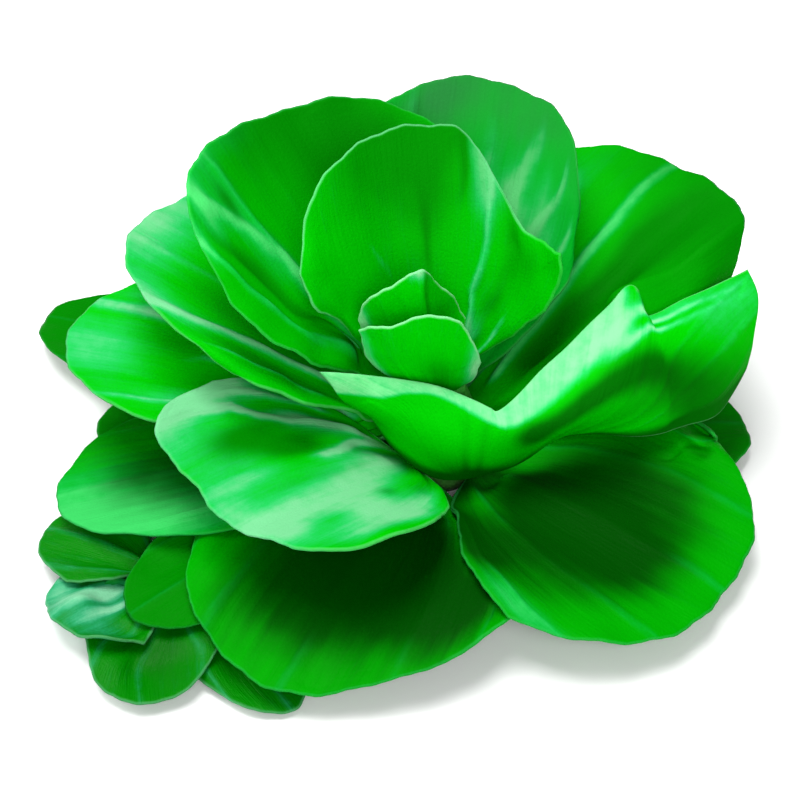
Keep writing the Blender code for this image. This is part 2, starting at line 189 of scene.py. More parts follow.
def capped_rings(rings, ends):
    """Points and faces of a closed body: each ring is joined to the next, and both ends to a point.

    The rings run anticlockwise when they are seen from past the last one.
    """
    count = rings[..., 0].size
    index = np.arange(count).reshape(rings.shape[:2])
    index = np.concatenate([index, index[:, :1]], axis=1)
    faces = [grid_faces(index)]
    for ring, point in ((index[0, ::-1], count), (index[-1], count + 1)):
        faces.append(np.stack([ring[:-1], ring[1:], 0 * ring[1:] + point, ring[:-1]], axis=-1))
    return np.concatenate([rings.reshape(-1, 3), ends]), np.concatenate(faces)


def stem_radius(height, radius, z):
    """A stem's radius at a height above the surface: radius * sqrt(1 - narrowing * share^curve)."""
    share = np.clip(z / height, 0.0, 1.0)
    return radius * np.sqrt(1.0 - STEM_NARROWING * share**STEM_CURVE)


def turned_stem(name, place, height, radius, finish):
    """A stem turned about its axis: rings of points from the foot up, less a groove for each scar.

    A groove is depth * (0.5 + 0.5 cos(lap))^6, where the laps rise and fall a little round the stem.
    """
    up = np.linspace(0.0, 1.0, STEM_RINGS)
    turn = np.linspace(0.0, 2.0 * np.pi, STEM_SIDES, endpoint=False)
    z = height * up
    outline = stem_radius(height, radius, z)
    foot = STEM_FOOT + (1.0 - STEM_FOOT) * np.clip(z / (STEM_FOOT_HEIGHT * height), 0.0, 1.0)
    lap = z[:, None] / SCAR_SPACING + SCAR_WAVE * np.sin(2.0 * turn + 1.0)
    groove = SCAR_DEPTH * (0.5 + 0.5 * np.cos(2.0 * np.pi * lap)) ** 6
    ring = (outline * foot)[:, None] - groove * np.sin(np.pi * up)[:, None]
    rings = np.stack([ring * np.cos(turn), ring * np.sin(turn), z[:, None] + 0 * turn], axis=-1)
    points, faces = capped_rings(rings, np.array([[0.0, 0.0, 0.0], [0.0, 0.0, height]]))
    facts = {"up": np.concatenate([np.repeat(up, STEM_SIDES), [0.0, 1.0]])}
    return put_mesh(name, points + np.array([*place, 0.0]), faces, facts, finish)


def stem_finish():
    """Green flesh, browner towards the foot where old leaves left it, and painted near-black there as shade.
    """
    shader = Shader("fleshy stem", Specular_IOR_Level=0.2)
    where = shader.places()
    up = shader.fact("up")
    cloud = shader.noise(where, 260.0, 3.0)
    # Towards the foot the colour goes nearly black: real browning and painted shade under the leaves.
    age_and_shade = shader.step(up + (cloud - 0.5) * 0.5, 0.0, 0.45, 1.0, 0.0)
    green = shader.mix(cloud, opaque(0.006, 0.12, 0.006), opaque(0.03, 0.20, 0.02))
    shader.wire(Base_Color=shader.mix(age_and_shade * 0.8, green, opaque(0.02, 0.03, 0.008)))
    shader.wire(Roughness=0.5 + cloud * 0.3)
    shader.bump(shader.noise(where, 900.0, 3.0), 0.0004)
    return shader.material


STEM_FINISH = stem_finish()
stem = turned_stem("stem_flesh", (0.0, 0.0), STEM_HEIGHT, STEM_RADIUS, STEM_FINISH)
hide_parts("stem")
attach(stem, "root")


# The young leaves at the heart. They are two small leaves, one behind the other, still rolled
# round each other and fixed on top of the stem: light green, with a painted highlight along the
# thin rim and painted shade in patches.
# The gap where pieces touch, and how a leaf is pressed clear of the others, in millimetres and rounds.
TOUCH_GAP = 0.35
PRESS_GAP = 1.2
PRESS_ROUNDS = 4
PRESS_DEPTH = 0.2
PRESS_START = 1.05
PRESS_FADE = 0.8
PRESS_FINENESS = 3
EDGE_MARGIN = 2.5
EDGE_FADE = 5.0
# Rows and columns of each size of leaf, and those of the fine mesh that is read from them.
LARGE = (10, 11)
LOW = (8, 9)
SMALL = (6, 7)
ROLLED = (6, 11)
FINE = {LARGE: (96, 141), LOW: (80, 97), SMALL: (64, 73), ROLLED: (72, 97)}
# The form of a leaf, its ribs and its margin: shares of its length, and millimetres.
MIDLINE_END = 1.5
MIDLINE_STATIONS = 151
ROUND_END = 0.5
CURL_POWER = 0.6
PLEAT_HEIGHT = 0.55
RIB_SWAY = 0.006
RIB_START = 0.14
RIB_END = 0.18
RIB_FREE = 5.0
RIM_ROUNDING = 0.9
RIM_REACH = 6.0
RIPPLE = 0.3
RIPPLE_LENGTHS = (4.1, 2.3)
NOTCH = 0.35
NOTCH_LENGTHS = (5.3, 1.9)
# What leaves grow from: the centre, the radius and the height of a stem.
HOMES = {"stem": ((0.0, 0.0), STEM_RADIUS, STEM_HEIGHT)}
grown = []


@dataclass
class Leaf:
    """One leaf: millimetres, degrees, and cups in radians from the midline to the side.

    azimuth and height say where the midline leaves the stem, and rise is its slope at the base
    and at the tip. cup is the curl at the base, left side and right side, taper the power of the
    outline's widening, roll the turn about the midline at the base and at the tip, reach the
    margin's distance at even places from left to right, and thick the thickness at the base,
    middle and margin. home is the stem, stand_off a gap to it, grid the sheet's rows and columns,
    and over names the leaves that it lies on instead of under. A leaf with lines is lofted through
    them, from its base to its rim, each from left to right. Ribs are (line, height, width,
    paleness), where a line runs through places (along, across) and a groove has a height below
    zero. A rib's paleness is the pale bloom of its hairs with a painted highlight, and paleness below
    zero paints shade along it. The pale patches and the painted shade patches are each (along, across,
    length, breadth, strength); the pale ones are partly pale bloom and partly painted highlight and sheen.
    """

    name: str
    azimuth: float = 0.0
    height: float = 0.0
    length: float = 0.0
    half_width: float = 0.0
    rise: tuple = (0.0, 0.0)
    cup: tuple = (1.0, 0.2, 0.2)
    taper: float = 1.2
    base_half_width: float = 4.0
    roll: tuple = (0.0, 0.0)
    reach: tuple = (1.0, 1.0, 1.0, 1.0, 1.0)
    thick: tuple = (2.0, 1.9, 1.0)
    home: str = "stem"
    stand_off: float = 0.0
    grid: tuple = LARGE
    lines: tuple = ()
    over: tuple = ()
    ribs: tuple = ()
    pale: tuple = ()
    deep: tuple = ()


def smooth_through(values, places):
    """A smooth curve through evenly spaced values, read at places from 0 to 1.

    Between two values it is the cubic with their slopes, each taken from both neighbours.
    """
    values = np.array(values, float)
    slopes = np.gradient(values, axis=0)
    spot = np.asarray(places, float) * (len(values) - 1)
    cell = np.clip(np.floor(spot).astype(int), 0, len(values) - 2)
    part = (spot - cell).reshape(spot.shape + (1,) * (values.ndim - 1))
    return (
        values[cell] * (1 + 2 * part) * (1 - part) ** 2
        + values[cell + 1] * (3 - 2 * part) * part**2
        + slopes[cell] * part * (1 - part) ** 2
        - slopes[cell + 1] * part**2 * (1 - part)
    )


def from_middle(amounts):
    """Running sum along each row, counted from the middle column outwards."""
    steps = 0.5 * (amounts[:, 1:] + amounts[:, :-1])
    total = np.concatenate([np.zeros((len(amounts), 1)), np.cumsum(steps, axis=1)], axis=1)
    middle = amounts.shape[1] // 2
    return total - total[:, middle : middle + 1]


def midline(leaf, share):
    """Points and directions along a leaf's midline: its slope goes evenly from rise to rise."""
    azimuth = math.radians(leaf.azimuth)
    out = np.array([math.cos(azimuth), math.sin(azimuth), 0.0])
    up = np.array([0.0, 0.0, 1.0])
    stations = np.linspace(0.0, MIDLINE_END, MIDLINE_STATIONS)
    slope = np.radians(leaf.rise[0] + (leaf.rise[1] - leaf.rise[0]) * stations)
    ahead = np.cos(slope)[:, None] * out + np.sin(slope)[:, None] * up
    steps = 0.5 * (ahead[1:] + ahead[:-1]) * stations[1] * leaf.length
    path = np.concatenate([np.zeros((1, 3)), np.cumsum(steps, axis=0)])
    place, radius, height = HOMES[leaf.home]
    at_base = stem_radius(height, radius, max(leaf.height - leaf.thick[0], 0.0))
    path = path + out * (at_base + TOUCH_GAP + leaf.stand_off) + np.array([*place, leaf.height])
    at_share = [np.interp(share, stations, column) for column in (*path.T, *ahead.T)]
    return np.stack(at_share[:3], axis=-1), np.stack(at_share[3:], axis=-1)


def lofted(lines, down, over):
    """A grid of points through lines: smooth along each line, then smooth from line to line."""
    return smooth_through([smooth_through(line, over) for line in lines], down)


def leaf_sheet(leaf):
    """The leaf's upper surface as rows from base to tip and columns from left to right.

    The flat outline widens from the base and ends in half an ellipse. It is then bent along its
    midline by rise, curled across by cup and pleated by ribs that fan out from the base.
    """
    if leaf.lines:
        rows, columns = leaf.grid
        return lofted(leaf.lines, np.linspace(0.0, 1.0, rows), np.linspace(0.0, 1.0, columns))
    along = np.linspace(0.0, 1.0, leaf.grid[0])[:, None]
    across = np.linspace(-1.0, 1.0, leaf.grid[1])[None, :]
    side = np.sin(0.5 * np.pi * across)
    arc = np.cos(0.5 * np.pi * across)
    reach = 1.0 + (smooth_through(leaf.reach, 0.5 * (across + 1.0)) - 1.0) * along**2
    widening = np.sin(0.5 * np.pi * along) ** leaf.taper
    half = leaf.base_half_width + (leaf.half_width - leaf.base_half_width) * widening
    flat_x = half * side * reach
    share = ((1 - ROUND_END) * along + ROUND_END * along**2 * arc) * reach

    base_curl = leaf.cup[0] / leaf.half_width
    side_curl = np.where(across < 0, leaf.cup[1], leaf.cup[2]) / leaf.half_width
    curl = base_curl + (side_curl - base_curl) * np.clip(share, 0.0, 1.0) ** CURL_POWER
    step = np.gradient(flat_x, axis=1)
    angle = from_middle(curl * step)
    sideways = from_middle(np.cos(angle) * step)
    raised = from_middle(np.sin(angle) * step)
    fade = np.sin(np.pi * np.clip(along, 0.0, 1.0) ** 0.8) ** 0.7 * (1 - across**4)
    ribs = leaf.grid[1] // 2
    raised = raised + PLEAT_HEIGHT * fade * np.cos(np.pi * ribs * across)

    middle, ahead = midline(leaf, share)
    azimuth = math.radians(leaf.azimuth)
    right = np.array([math.sin(azimuth), -math.cos(azimuth), 0.0])
    over = np.cross(right, ahead)
    turn = np.radians(leaf.roll[0] + (leaf.roll[1] - leaf.roll[0]) * share)[..., None]
    rolled_right = right * np.cos(turn) + over * np.sin(turn)
    rolled_over = over * np.cos(turn) - right * np.sin(turn)
    return middle + rolled_right * sideways[..., None] + rolled_over * raised[..., None]


def leaf_thickness(leaf):
    """Thickness: fleshy at the base, thinner in the blade and thinnest at the margin."""
    along = np.linspace(0.0, 1.0, leaf.grid[0])[:, None]
    across = np.linspace(-1.0, 1.0, leaf.grid[1])[None, :]
    base, middle, margin = leaf.thick
    blade = margin + (middle - margin) * (1 - across**2) * (1 - along**3)
    return blade + (base - middle) * (1 - along) ** 3 * (1 - 0.7 * across**2)


def sheet_normals(sheet):
    """Unit normals of a grid of points, from the cross product of its two directions."""
    normal = np.cross(np.gradient(sheet, axis=1), np.gradient(sheet, axis=0))
    return normal / np.maximum(np.linalg.norm(normal, axis=-1, keepdims=True), 1e-9)


def refined(sheet, down, over):
    """The same surface read at other places, smooth along its columns and then its rows."""
    taller = smooth_through(sheet, down)
    return smooth_through(np.swapaxes(taller, 0, 1), over).swapaxes(0, 1)


def dense(sheet, thickness):
    """A sheet's points, normals and thickness, close together, as flat lists."""
    down = np.linspace(0.0, 1.0, (sheet.shape[0] - 1) * PRESS_FINENESS + 1)
    over = np.linspace(0.0, 1.0, (sheet.shape[1] - 1) * PRESS_FINENESS + 1)
    fine = refined(sheet, down, over)
    thick = refined(thickness[..., None], down, over)
    return fine.reshape(-1, 3), sheet_normals(fine).reshape(-1, 3), thick.reshape(-1)


def pressed_clear(leaf, sheet, own):
    """Moves a sheet's points until it no longer cuts the leaves that grew before it.

    Each point is compared with the nearest point of the other leaf and moved along that leaf's
    normal, down to lie under its lower face, or up to lie on its upper face. The move fades out
    past the other leaf's edge and near the stem.
    """
    place, radius, _ = HOMES[leaf.home]
    from_home = np.linalg.norm(sheet[..., :2] - place, axis=-1).reshape(-1)
    free = np.clip((from_home / radius - PRESS_START) / PRESS_FADE, 0.0, 1.0)
    depth = PRESS_DEPTH * np.linalg.norm(sheet[..., :2], axis=-1).reshape(-1)
    for _ in range(PRESS_ROUNDS):
        for name, points, normals, thickness in grown:
            apart = sheet.reshape(-1, 1, 3) - points
            nearest = np.argmin((apart**2).sum(axis=-1), axis=1)
            offset = apart[np.arange(len(nearest)), nearest]
            normal = normals[nearest]
            above = (offset * normal).sum(axis=-1)
            beside = np.linalg.norm(offset - above[:, None] * normal, axis=-1)
            ease = np.clip(1.0 - (beside - EDGE_MARGIN) / EDGE_FADE, 0.0, 1.0)
            if name in leaf.over:
                move = np.clip(own.reshape(-1) + PRESS_GAP - above, 0.0, None) * (above > -depth)
            else:
                move = -np.clip(above + thickness[nearest] + PRESS_GAP, 0.0, None)
                move = move * (above < depth)
            sheet = sheet + ((move * ease * free)[:, None] * normal).reshape(sheet.shape)
    return sheet


def smooth_step(low, high, value):
    """0 below low, 1 above high, and 3 t^2 - 2 t^3 between, where t is the share of the way."""
    t = np.clip((value - low) / (high - low), 0.0, 1.0)
    return t * t * (3.0 - 2.0 * t)


def gathered(count):
    """Places from 0 to 1 that lie closer together near both ends: even, plus a cosine wave."""
    even = np.linspace(0.0, 1.0, count)
    return 0.5 * even + 0.25 * (1.0 - np.cos(np.pi * even))


def to_rim(fine):
    """Each point's distance to the leaf's margin, and how far round the margin that place is."""
    rim = np.concatenate([fine[:, 0], fine[-1, 1:], fine[-2::-1, -1]])
    length = np.concatenate([[0.0], np.cumsum(np.linalg.norm(np.diff(rim, axis=0), axis=-1))])
    points = fine.reshape(-1, 3)
    square = (points**2).sum(axis=1)[:, None] - 2.0 * points @ rim.T + (rim**2).sum(axis=1)
    nearest = np.argmin(square, axis=1)
    distance = np.linalg.norm(points - rim[nearest], axis=1)
    return distance.reshape(fine.shape[:2]), length[nearest].reshape(fine.shape[:2])


def fine_sheet(sheet, thickness, size):
    """A sheet read at size rows and columns, which gather at its margin.

    Gives the places down and over, the points, the thickness, the normals, and each point's
    distance to the margin and place round it.
    """
    down, over = gathered(size[0]), gathered(size[1])
    fine = refined(sheet, down, over)
    thick = refined(thickness[..., None], down, over)[..., 0]
    return down[:, None], over[None, :], fine, thick, sheet_normals(fine), *to_rim(fine)


def two_waves(round_rim, lengths, phase=0.0):
    """A wave round the margin, sin(way / length), and a shorter one that is 0.7 times as high."""
    long, short = lengths
    return np.sin(round_rim / long + phase) + 0.7 * np.sin(round_rim / short + 2.0 * phase)


def rounded_off(thick, distance):
    """Thickness near the margin, in half a circle: thick * sqrt(1 - (1 - distance / rounding)^2)."""
    closing = np.clip(distance / RIM_ROUNDING, 0.0, 1.0)
    return thick * np.sqrt(1.0 - (1.0 - closing) ** 2)


def patches(marks, along, across):
    """The sum of soft round patches, each strength * exp(-(distance / size)^2)."""
    total = np.zeros(np.broadcast(along, across).shape)
    for at, beside, length, breadth, strength in marks:
        far = ((along - at) / length) ** 2 + ((across - beside) / breadth) ** 2
        total = total + strength * np.exp(-far)
    return total


def relief(ribs, along, beside):
    """Ribs as rounded ridges: height * exp(-(distance / width)^2), fading out at their ends.

    A rib sways a little from its line and swells and sinks along it. Its width grows from a third
    at the base to all of it at the tip, and its colour reaches half as far again. beside gives a
    point's distance in millimetres from a place across the leaf. Gives the height, how pale the ribs
    make each point, which is the hairs' bloom with a painted highlight, and the painted shade that a
    rib of negative paleness lays along its line.
    """
    raised = np.zeros(along.shape)
    ridge_bloom_and_highlight = np.zeros(along.shape)
    dark = np.zeros(along.shape)
    for number, (line, height, width, paleness) in enumerate(ribs):
        at, across = np.array(line).T
        place = np.interp(along, at, across) + RIB_SWAY * np.sin(21.0 * along + 2.3 * number)
        apart = (beside(place) / (width * (0.35 + 0.65 * along))) ** 2
        length = smooth_step(at[0] - 0.02, at[0] + RIB_START, along)
        length = length * (1.0 - smooth_step(at[-1] - RIB_END, at[-1] + 0.02, along))
        swell = 0.85 + 0.15 * np.sin(34.0 * along + number)
        raised = raised + height * length * np.exp(-apart) * swell
        tint = length * (0.45 * np.exp(-apart) + 0.55 * np.exp(-apart / 2.25))
        ridge_bloom_and_highlight = np.maximum(ridge_bloom_and_highlight, paleness * tint)
        dark = np.maximum(dark, -paleness * tint)
    return raised, ridge_bloom_and_highlight, dark


def straight(across, start=0.02, end=1.3):
    """A rib's line that stays at one place across the leaf."""
    return ((start, across), (end, across))


def closed_sheet(name, upper, lower, facts, finish):
    """One closed mesh from an upper and a lower grid of points that share their four sides."""
    rows, columns = upper.shape[:2]
    top = np.arange(rows * columns).reshape(rows, columns)
    bottom = top.copy()
    bottom[1:-1, 1:-1] = top.size + np.arange((rows - 2) * (columns - 2)).reshape(rows - 2, -1)
    points = np.concatenate([upper.reshape(-1, 3), lower[1:-1, 1:-1].reshape(-1, 3)])
    faces = np.concatenate([grid_faces(top), grid_faces(bottom)[:, ::-1]])
    inner = (rows - 2) * (columns - 2)
    on_points = {"under": np.concatenate([np.zeros(top.size), np.ones(inner)])}
    for key, grid in facts.items():
        grid = np.broadcast_to(grid, top.shape)
        on_points[key] = np.concatenate([grid.reshape(-1), grid[1:-1, 1:-1].reshape(-1)])
    return put_mesh(name, points, faces, on_points, finish)


def blade(leaf, sheet, thickness, finish, slot):
    """A leaf's visible blade: its sheet with ribs and a rippled margin, rounded off at the rim.

    The upper face is the sheet plus ribs and ripples along its normal, plus the margin's notches
    along the way outwards. The lower face lies the thickness under it.
    """
    down, over, fine, thick, normal, from_rim, round_rim = fine_sheet(sheet, thickness, FINE[leaf.grid])
    along = down + 0.0 * over
    across = 2.0 * over - 1.0 + 0.0 * along
    half = 0.5 * np.linalg.norm(np.diff(fine, axis=1), axis=-1).sum(axis=1, keepdims=True)
    ribs = leaf.ribs or even_ribs(leaf)
    raised, ridge_bloom_and_highlight, dark = relief(ribs, along, lambda place: (across - place) * half)
    phase = leaf.azimuth
    near_rim = np.exp(-((from_rim / RIM_REACH) ** 2)) * smooth_step(0.15, 0.5, along)
    ripple = RIPPLE * two_waves(round_rim, RIPPLE_LENGTHS, phase) * near_rim
    long, short = NOTCH_LENGTHS
    notch = NOTCH * (np.sin(round_rim / long + phase) + np.sin(round_rim / short + 3.0 * phase) ** 3)
    outward = np.gradient(fine, axis=0), np.gradient(fine, axis=1)
    outward = [way / np.linalg.norm(way, axis=-1, keepdims=True) for way in outward]
    outward = outward[0] * along[..., None] ** 2 + outward[1] * across[..., None]
    shaped = fine + normal * (raised * smooth_step(0.0, RIB_FREE, from_rim) + ripple)[..., None]
    shaped = shaped + outward * (notch * near_rim)[..., None]
    from_base = np.linalg.norm(fine - fine[:1], axis=-1)
    rounded = rounded_off(thick, np.minimum(from_rim, from_base))
    upper = shaped - normal * (0.5 * (thick - rounded))[..., None]
    lower = upper - normal * rounded[..., None]
    # The rib fact is the ribs' pale bloom with a painted highlight; the painted shade fact holds the shade
    # patches and the shade that ribs of negative paleness paint.
    facts = {
        "along": along,
        "across": across,
        "from_rim": from_rim,
        "rib": ridge_bloom_and_highlight,
        "pale": patches(leaf.pale, along, across),
        "deep": patches(leaf.deep, along, across) + dark,
    }
    made = closed_sheet(leaf.name + "_blade", upper, lower, facts, finish)
    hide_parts(leaf.name)
    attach(made, "root")


def even_ribs(leaf):
    """Main ribs along the pleats' crests, and a thinner one between each pair."""
    crests = {LARGE: (-0.8, -0.4, 0.0, 0.4, 0.8), LOW: (-0.5, 0.0, 0.5), SMALL: (-0.66, 0.0, 0.66),
              ROLLED: (-0.6, -0.2, 0.2, 0.6)}
    main = crests[leaf.grid]
    ribs = [(straight(place), 0.4, 1.5, 0.6) for place in main]
    between = [0.5 * (first + second) for first, second in zip(main[:-1], main[1:])]
    return ribs + [(straight(place, 0.02, 0.85), 0.2, 0.9, 0.3) for place in between]


def grow(leaf, finish, slot):
    """Lays out one leaf, presses it clear of the earlier ones and puts its blade in the scene."""
    thickness = leaf_thickness(leaf)
    sheet = leaf_sheet(leaf)
    if not leaf.lines:
        sheet = pressed_clear(leaf, sheet, thickness)
        sheet[..., 2] = np.maximum(sheet[..., 2], thickness + TOUCH_GAP)
    grown.append((leaf.name, *dense(sheet, thickness)))
    blade(leaf, sheet, thickness, finish, slot)


def leaf_finish(name, green, deep, pale, rib_bloom_and_highlight, painted_rim_highlight, mottle=0.2, rough=0.6,
                centre=0.0, under_light=0.15, gloss=0.015, right_rim=1.0):
    """Velvety leaf. Paleness adds up ribs, patches and cloudy noise.

    The colour goes with it from green through a bluer green to pale; the pale of ribs and patches is
    partly the hairs' bloom and partly painted highlight and sheen. Fine streaks fan out from the base,
    because the noise is read along and across the leaf. Where the mesh holds painted shade, and near
    the base where leaves pass under others, the colour goes over to the shaded green as painted shade,
    and by the share centre it also darkens away from the rim, as a painted shadow of the leaves above.
    The rim is pale on top of that, a painted highlight along the edge, and the right-rim share is how
    much of it is left on the leaf's right side.
    """
    shader = Shader(name, Specular_IOR_Level=gloss)
    where = shader.places()
    along, across = shader.fact("along"), shader.fact("across")
    from_rim = shader.fact("from_rim")
    fan = shader.node("ShaderNodeCombineXYZ", None, {0: across * 14.0, 1: along * 1.6, 2: 0.0})
    streak = shader.noise(fan, 1.0, 3.0, 0.6)
    vein = shader.noise(fan, 4.5, 2.0)
    ragged = shader.noise(where, 330.0, 3.0)
    cloud = shader.noise(where, 70.0, 2.0)
    grain = shader.noise(where, 1600.0, 2.0)
    uneven = 0.2 + streak * 0.8 + ragged * 0.8
    # Paleness: the hairs' pale bloom, with painted highlight and sheen from the ribs and patches.
    paleness = (
        shader.step(shader.fact("rib") * uneven, 0.05, 1.0) * rib_bloom_and_highlight
        + shader.fact("pale") * (0.4 + streak * 0.6 + ragged * 0.6)
        + (cloud - 0.5) * mottle
        + (streak - 0.5) * 0.2
        + (vein - 0.5) * 0.15
        + shader.fact("under") * under_light
        + (grain - 0.5) * 0.1
    )
    teal = (green[0] + 0.1 * pale[0], 0.6 * green[1] + 0.4 * pale[1], 0.45 * pale[2])
    colour = shader.mix(shader.step(paleness, 0.0, 0.55), opaque(*green), opaque(*teal))
    colour = shader.mix(shader.step(paleness, 0.3, 1.0), colour, opaque(*pale))
    # A painted highlight along the edge; the right-rim share sets how much of it the right side keeps.
    rim = shader.step(from_rim, 0.15, 0.7, 1.0, 0.0) * painted_rim_highlight
    rim = rim * shader.step(across, 0.55, 0.8, 1.0, right_rim)
    # Painted shade: the shade patches, a band at the base where leaves pass under others, and by the centre
    # share a shadow away from the rim; cloudy noise varies it.
    shade = (
        shader.fact("deep")
        + shader.step(along, 0.0, 0.24, 0.9, 0.0)
        + shader.step(from_rim, 1.0, 20.0, 0.0, 1.0) * centre
        + (streak - 0.5) * (0.15 + 0.35 * centre)
        + (cloud - 0.5) * 0.4
    )
    shade = shader.step(shade, 0.0, 1.0)
    colour = shader.mix(shade, colour, opaque(*deep))
    shader.wire(Base_Color=shader.mix(rim, colour, opaque(*pale)))
    shader.wire(Roughness=rough + (cloud - 0.5) * 0.2)
    shader.bump(grain * 0.35 + streak * 0.6 + vein * 0.5, 0.0003)
    return shader.material


YOUNG = dict(thick=(1.6, 1.2, 0.8), grid=ROLLED)
young_leaf = leaf_finish("young leaf", (0.0, 0.48, 0.0), (0.0, 0.26, 0.0), (0.20, 0.62, 0.26),
                         rib_bloom_and_highlight=0.3, painted_rim_highlight=0.9)
FRONT_LINES = (
    ((-6.5, -2.5, 28.4), (-4.6, -3.3, 27.9), (-2.6, -3.8, 27.6), (-0.6, -4, 27.4), (1.4, -3.8, 27.4),
     (3, -3.3, 27.6), (4.5, -2.5, 28.2)),
    ((-15.8, -2.5, 35), (-11.5, -5, 38), (-7.5, -6.5, 40), (-3, -7, 41), (1.5, -6.5, 40),
     (5.5, -5, 37), (8, -3.5, 32)),
    ((-19.7, -2, 45.3), (-15, -4.8, 49), (-9, -7, 51.5), (-3, -8, 54), (3, -7.3, 52.5),
     (7, -5.5, 46), (9.2, -4.2, 37)),
)
BACK_LINES = (
    ((-6, 1, 28.4), (-4.6, 0.4, 27.9), (-3.2, 0, 27.6), (-1.8, -0.3, 27.4), (-0.4, -0.4, 27.4),
     (0.8, 0.4, 27.4), (2, 1.5, 27.6), (3.2, 2.8, 28.2)),
    ((-15, 2.5, 35.5), (-12.8, 1.5, 40), (-10, 0.5, 43.5), (-7, -0.3, 45.5), (-3.6, -1.2, 47),
     (-0.6, 2.5, 42), (2, 4.5, 38), (4.5, 6, 34)),
    ((-19.7, 2.5, 44), (-17.3, 1.5, 51.5), (-13.8, 0.5, 55), (-9.8, 0, 56.8), (-5, -0.8, 61.8),
     (-0.8, 3.5, 55), (3, 6.5, 48.5), (6.2, 8.5, 40)),
)
# The shade patches, and the groove of negative paleness on the back leaf, are painted shade.
grow(Leaf("heart_leaf_front", lines=FRONT_LINES,
          ribs=((straight(-0.55), 0.25, 1.2, 0.2), (straight(-0.1), 0.25, 1.2, 0.2),
                (straight(0.4), 0.25, 1.2, 0.2)),
          pale=((0.72, 0.95, 0.4, 0.22, 1.0), (0.6, -1.0, 0.5, 0.12, 0.8)),
          deep=((0.3, 0.15, 0.25, 0.35, 0.8),), **YOUNG), young_leaf, "young_leaf")
grow(Leaf("heart_leaf_back", lines=BACK_LINES,
          ribs=((straight(-0.5), 0.25, 1.2, 0.2), (straight(-0.1), 0.25, 1.2, 0.2),
                (straight(0.11), 0.5, 0.6, 0.3), (straight(0.23), -0.5, 0.9, -0.7)),
          pale=((1.0, 0.13, 0.08, 0.12, 1.0), (0.9, -0.95, 0.2, 0.12, 1.0)),
          deep=((0.85, 0.5, 0.6, 0.28, 0.5),), **YOUNG), young_leaf, "young_leaf")


# The upright leaf. It is soft green tissue with a painted highlight along its rim, stands behind
# the heart like a scoop with a fold down its right side, and grows from the top of the stem. Its
# shade patches and grooves are painted shade.
upright_green = leaf_finish("upright leaf", (0.0, 0.36, 0.0), (0.0, 0.165, 0.0), (0.13, 0.55, 0.22),
                            rib_bloom_and_highlight=0.8, painted_rim_highlight=0.6, right_rim=0.2)
grow(Leaf("upright_leaf", 97, 21, 62, 34, (80, 44), cup=(1.6, 0.5, 1.1), taper=1.3,
          reach=(1.0, 1.0, 1.0, 1.0, 1.0, 0.98, 0.79, 0.82, 1.06),
          ribs=((((0.2, 0.34), (0.44, 0.33), (0.51, 0.29), (0.6, 0.31), (0.8, 0.34), (1.1, 0.38)),
                 1.1, 1.0, 0.6),
                (((0.78, 0.17), (0.92, 0.2), (1.2, 0.23)), -0.4, 0.7, -0.5),
                (((0.5, 0.0), (0.74, -0.02), (0.92, -0.02)), -0.25, 0.7, -0.4),
                (((0.5, -0.22), (0.6, -0.27), (0.82, -0.42)), 0.2, 0.7, 0.35),
                (((0.1, 0.76), (0.32, 0.72), (0.55, 0.64)), 0.4, 1.1, 0.7),
                (((0.3, 0.5), (0.7, 0.52), (1.2, 0.55)), -0.7, 2.6, -0.3)),
          pale=((1.0, 0.33, 0.1, 0.1, 0.9), (0.86, 0.3, 0.09, 0.06, 0.5), (0.3, 0.4, 0.1, 0.1, 0.5)),
          deep=((1.0, -0.06, 0.22, 0.42, 1.1), (0.75, 0.0, 0.2, 0.12, 0.3), (0.7, -0.45, 0.3, 0.3, 0.22),
                (0.78, 0.66, 0.16, 0.18, 0.5))),
     upright_green, "leaf")


# The folded leaf. It wraps round the front of the heart and spreads to the right, and its rim is
# turned outwards in a broad pale band, the hairs' bloom with painted sheen on it. It is softer and
# brighter green than the leaves behind it, and grows from the stem below the heart.
FOLDED_LINES = {
    # Four lines along the leaf's inner face, from the edge next to the stem to the free rim.
    "edge": [(-18.5, -4, 26), (-13.5, -6, 18), (-4, -12.5, 12), (5, -13, 10.5), (14, -12, 12.5),
             (29, -7, 18), (40.5, -9, 20), (50, -9, 20), (55, -7.5, 20), (65, -3, 21),
             (72, 6, 27)],
    "bulge": [(-20.5, -7, 29), (-13, -8.5, 25), (-3.5, -13, 24), (6, -16, 20), (15.5, -15, 20),
              (28.5, -12.5, 26), (41, -11, 29), (50, -7, 30), (54, -5, 30), (65, 0.5, 31.5),
              (74, 11, 33)],
    "crease": [(-25, -9.5, 35.5), (-15.5, -7, 30.5), (-3.5, -8.5, 31), (8.5, -14, 28.5),
               (17, -17, 28), (28.5, -15, 32), (40, -9.5, 38), (47.5, -2.5, 40.5),
               (52, 0, 40.5), (63, 8, 40), (75, 18, 38)],
    "rim": [(-28, -10.5, 40.5), (-17.5, -5, 34.6), (-2.5, -6.5, 33), (9.5, -11, 31), (14, -13, 31.5),
            (25, -3.5, 37), (38, 7, 44), (44.5, 13, 46.5), (46.5, 6.5, 42), (61.5, 15.5, 42.5),
            (74, 26, 41)],
}
FOLDED_GRID = (19, 8)
FOLDED_FINE = (181, 71)
FOLDED_BASE = (0.34, -0.25)
FOLDED_SIZE = (105.0, 32.0)
FOLDED_REACH = 80.0
FOLDED_RIBS = (0.12, 0.24, 0.36, 0.5, 0.7, 1.0)
FOLDED_STREAKS = (1.62, 1.8)
FOLDED_RIPPLE = 0.35
FOLDED_RIPPLE_LENGTHS = (4.3, 2.6)
FOLDED_CREASE = (0.62, 0.63, 0.72, 0.72, 0.75, 0.79, 0.73, 0.73, 0.73, 0.73)
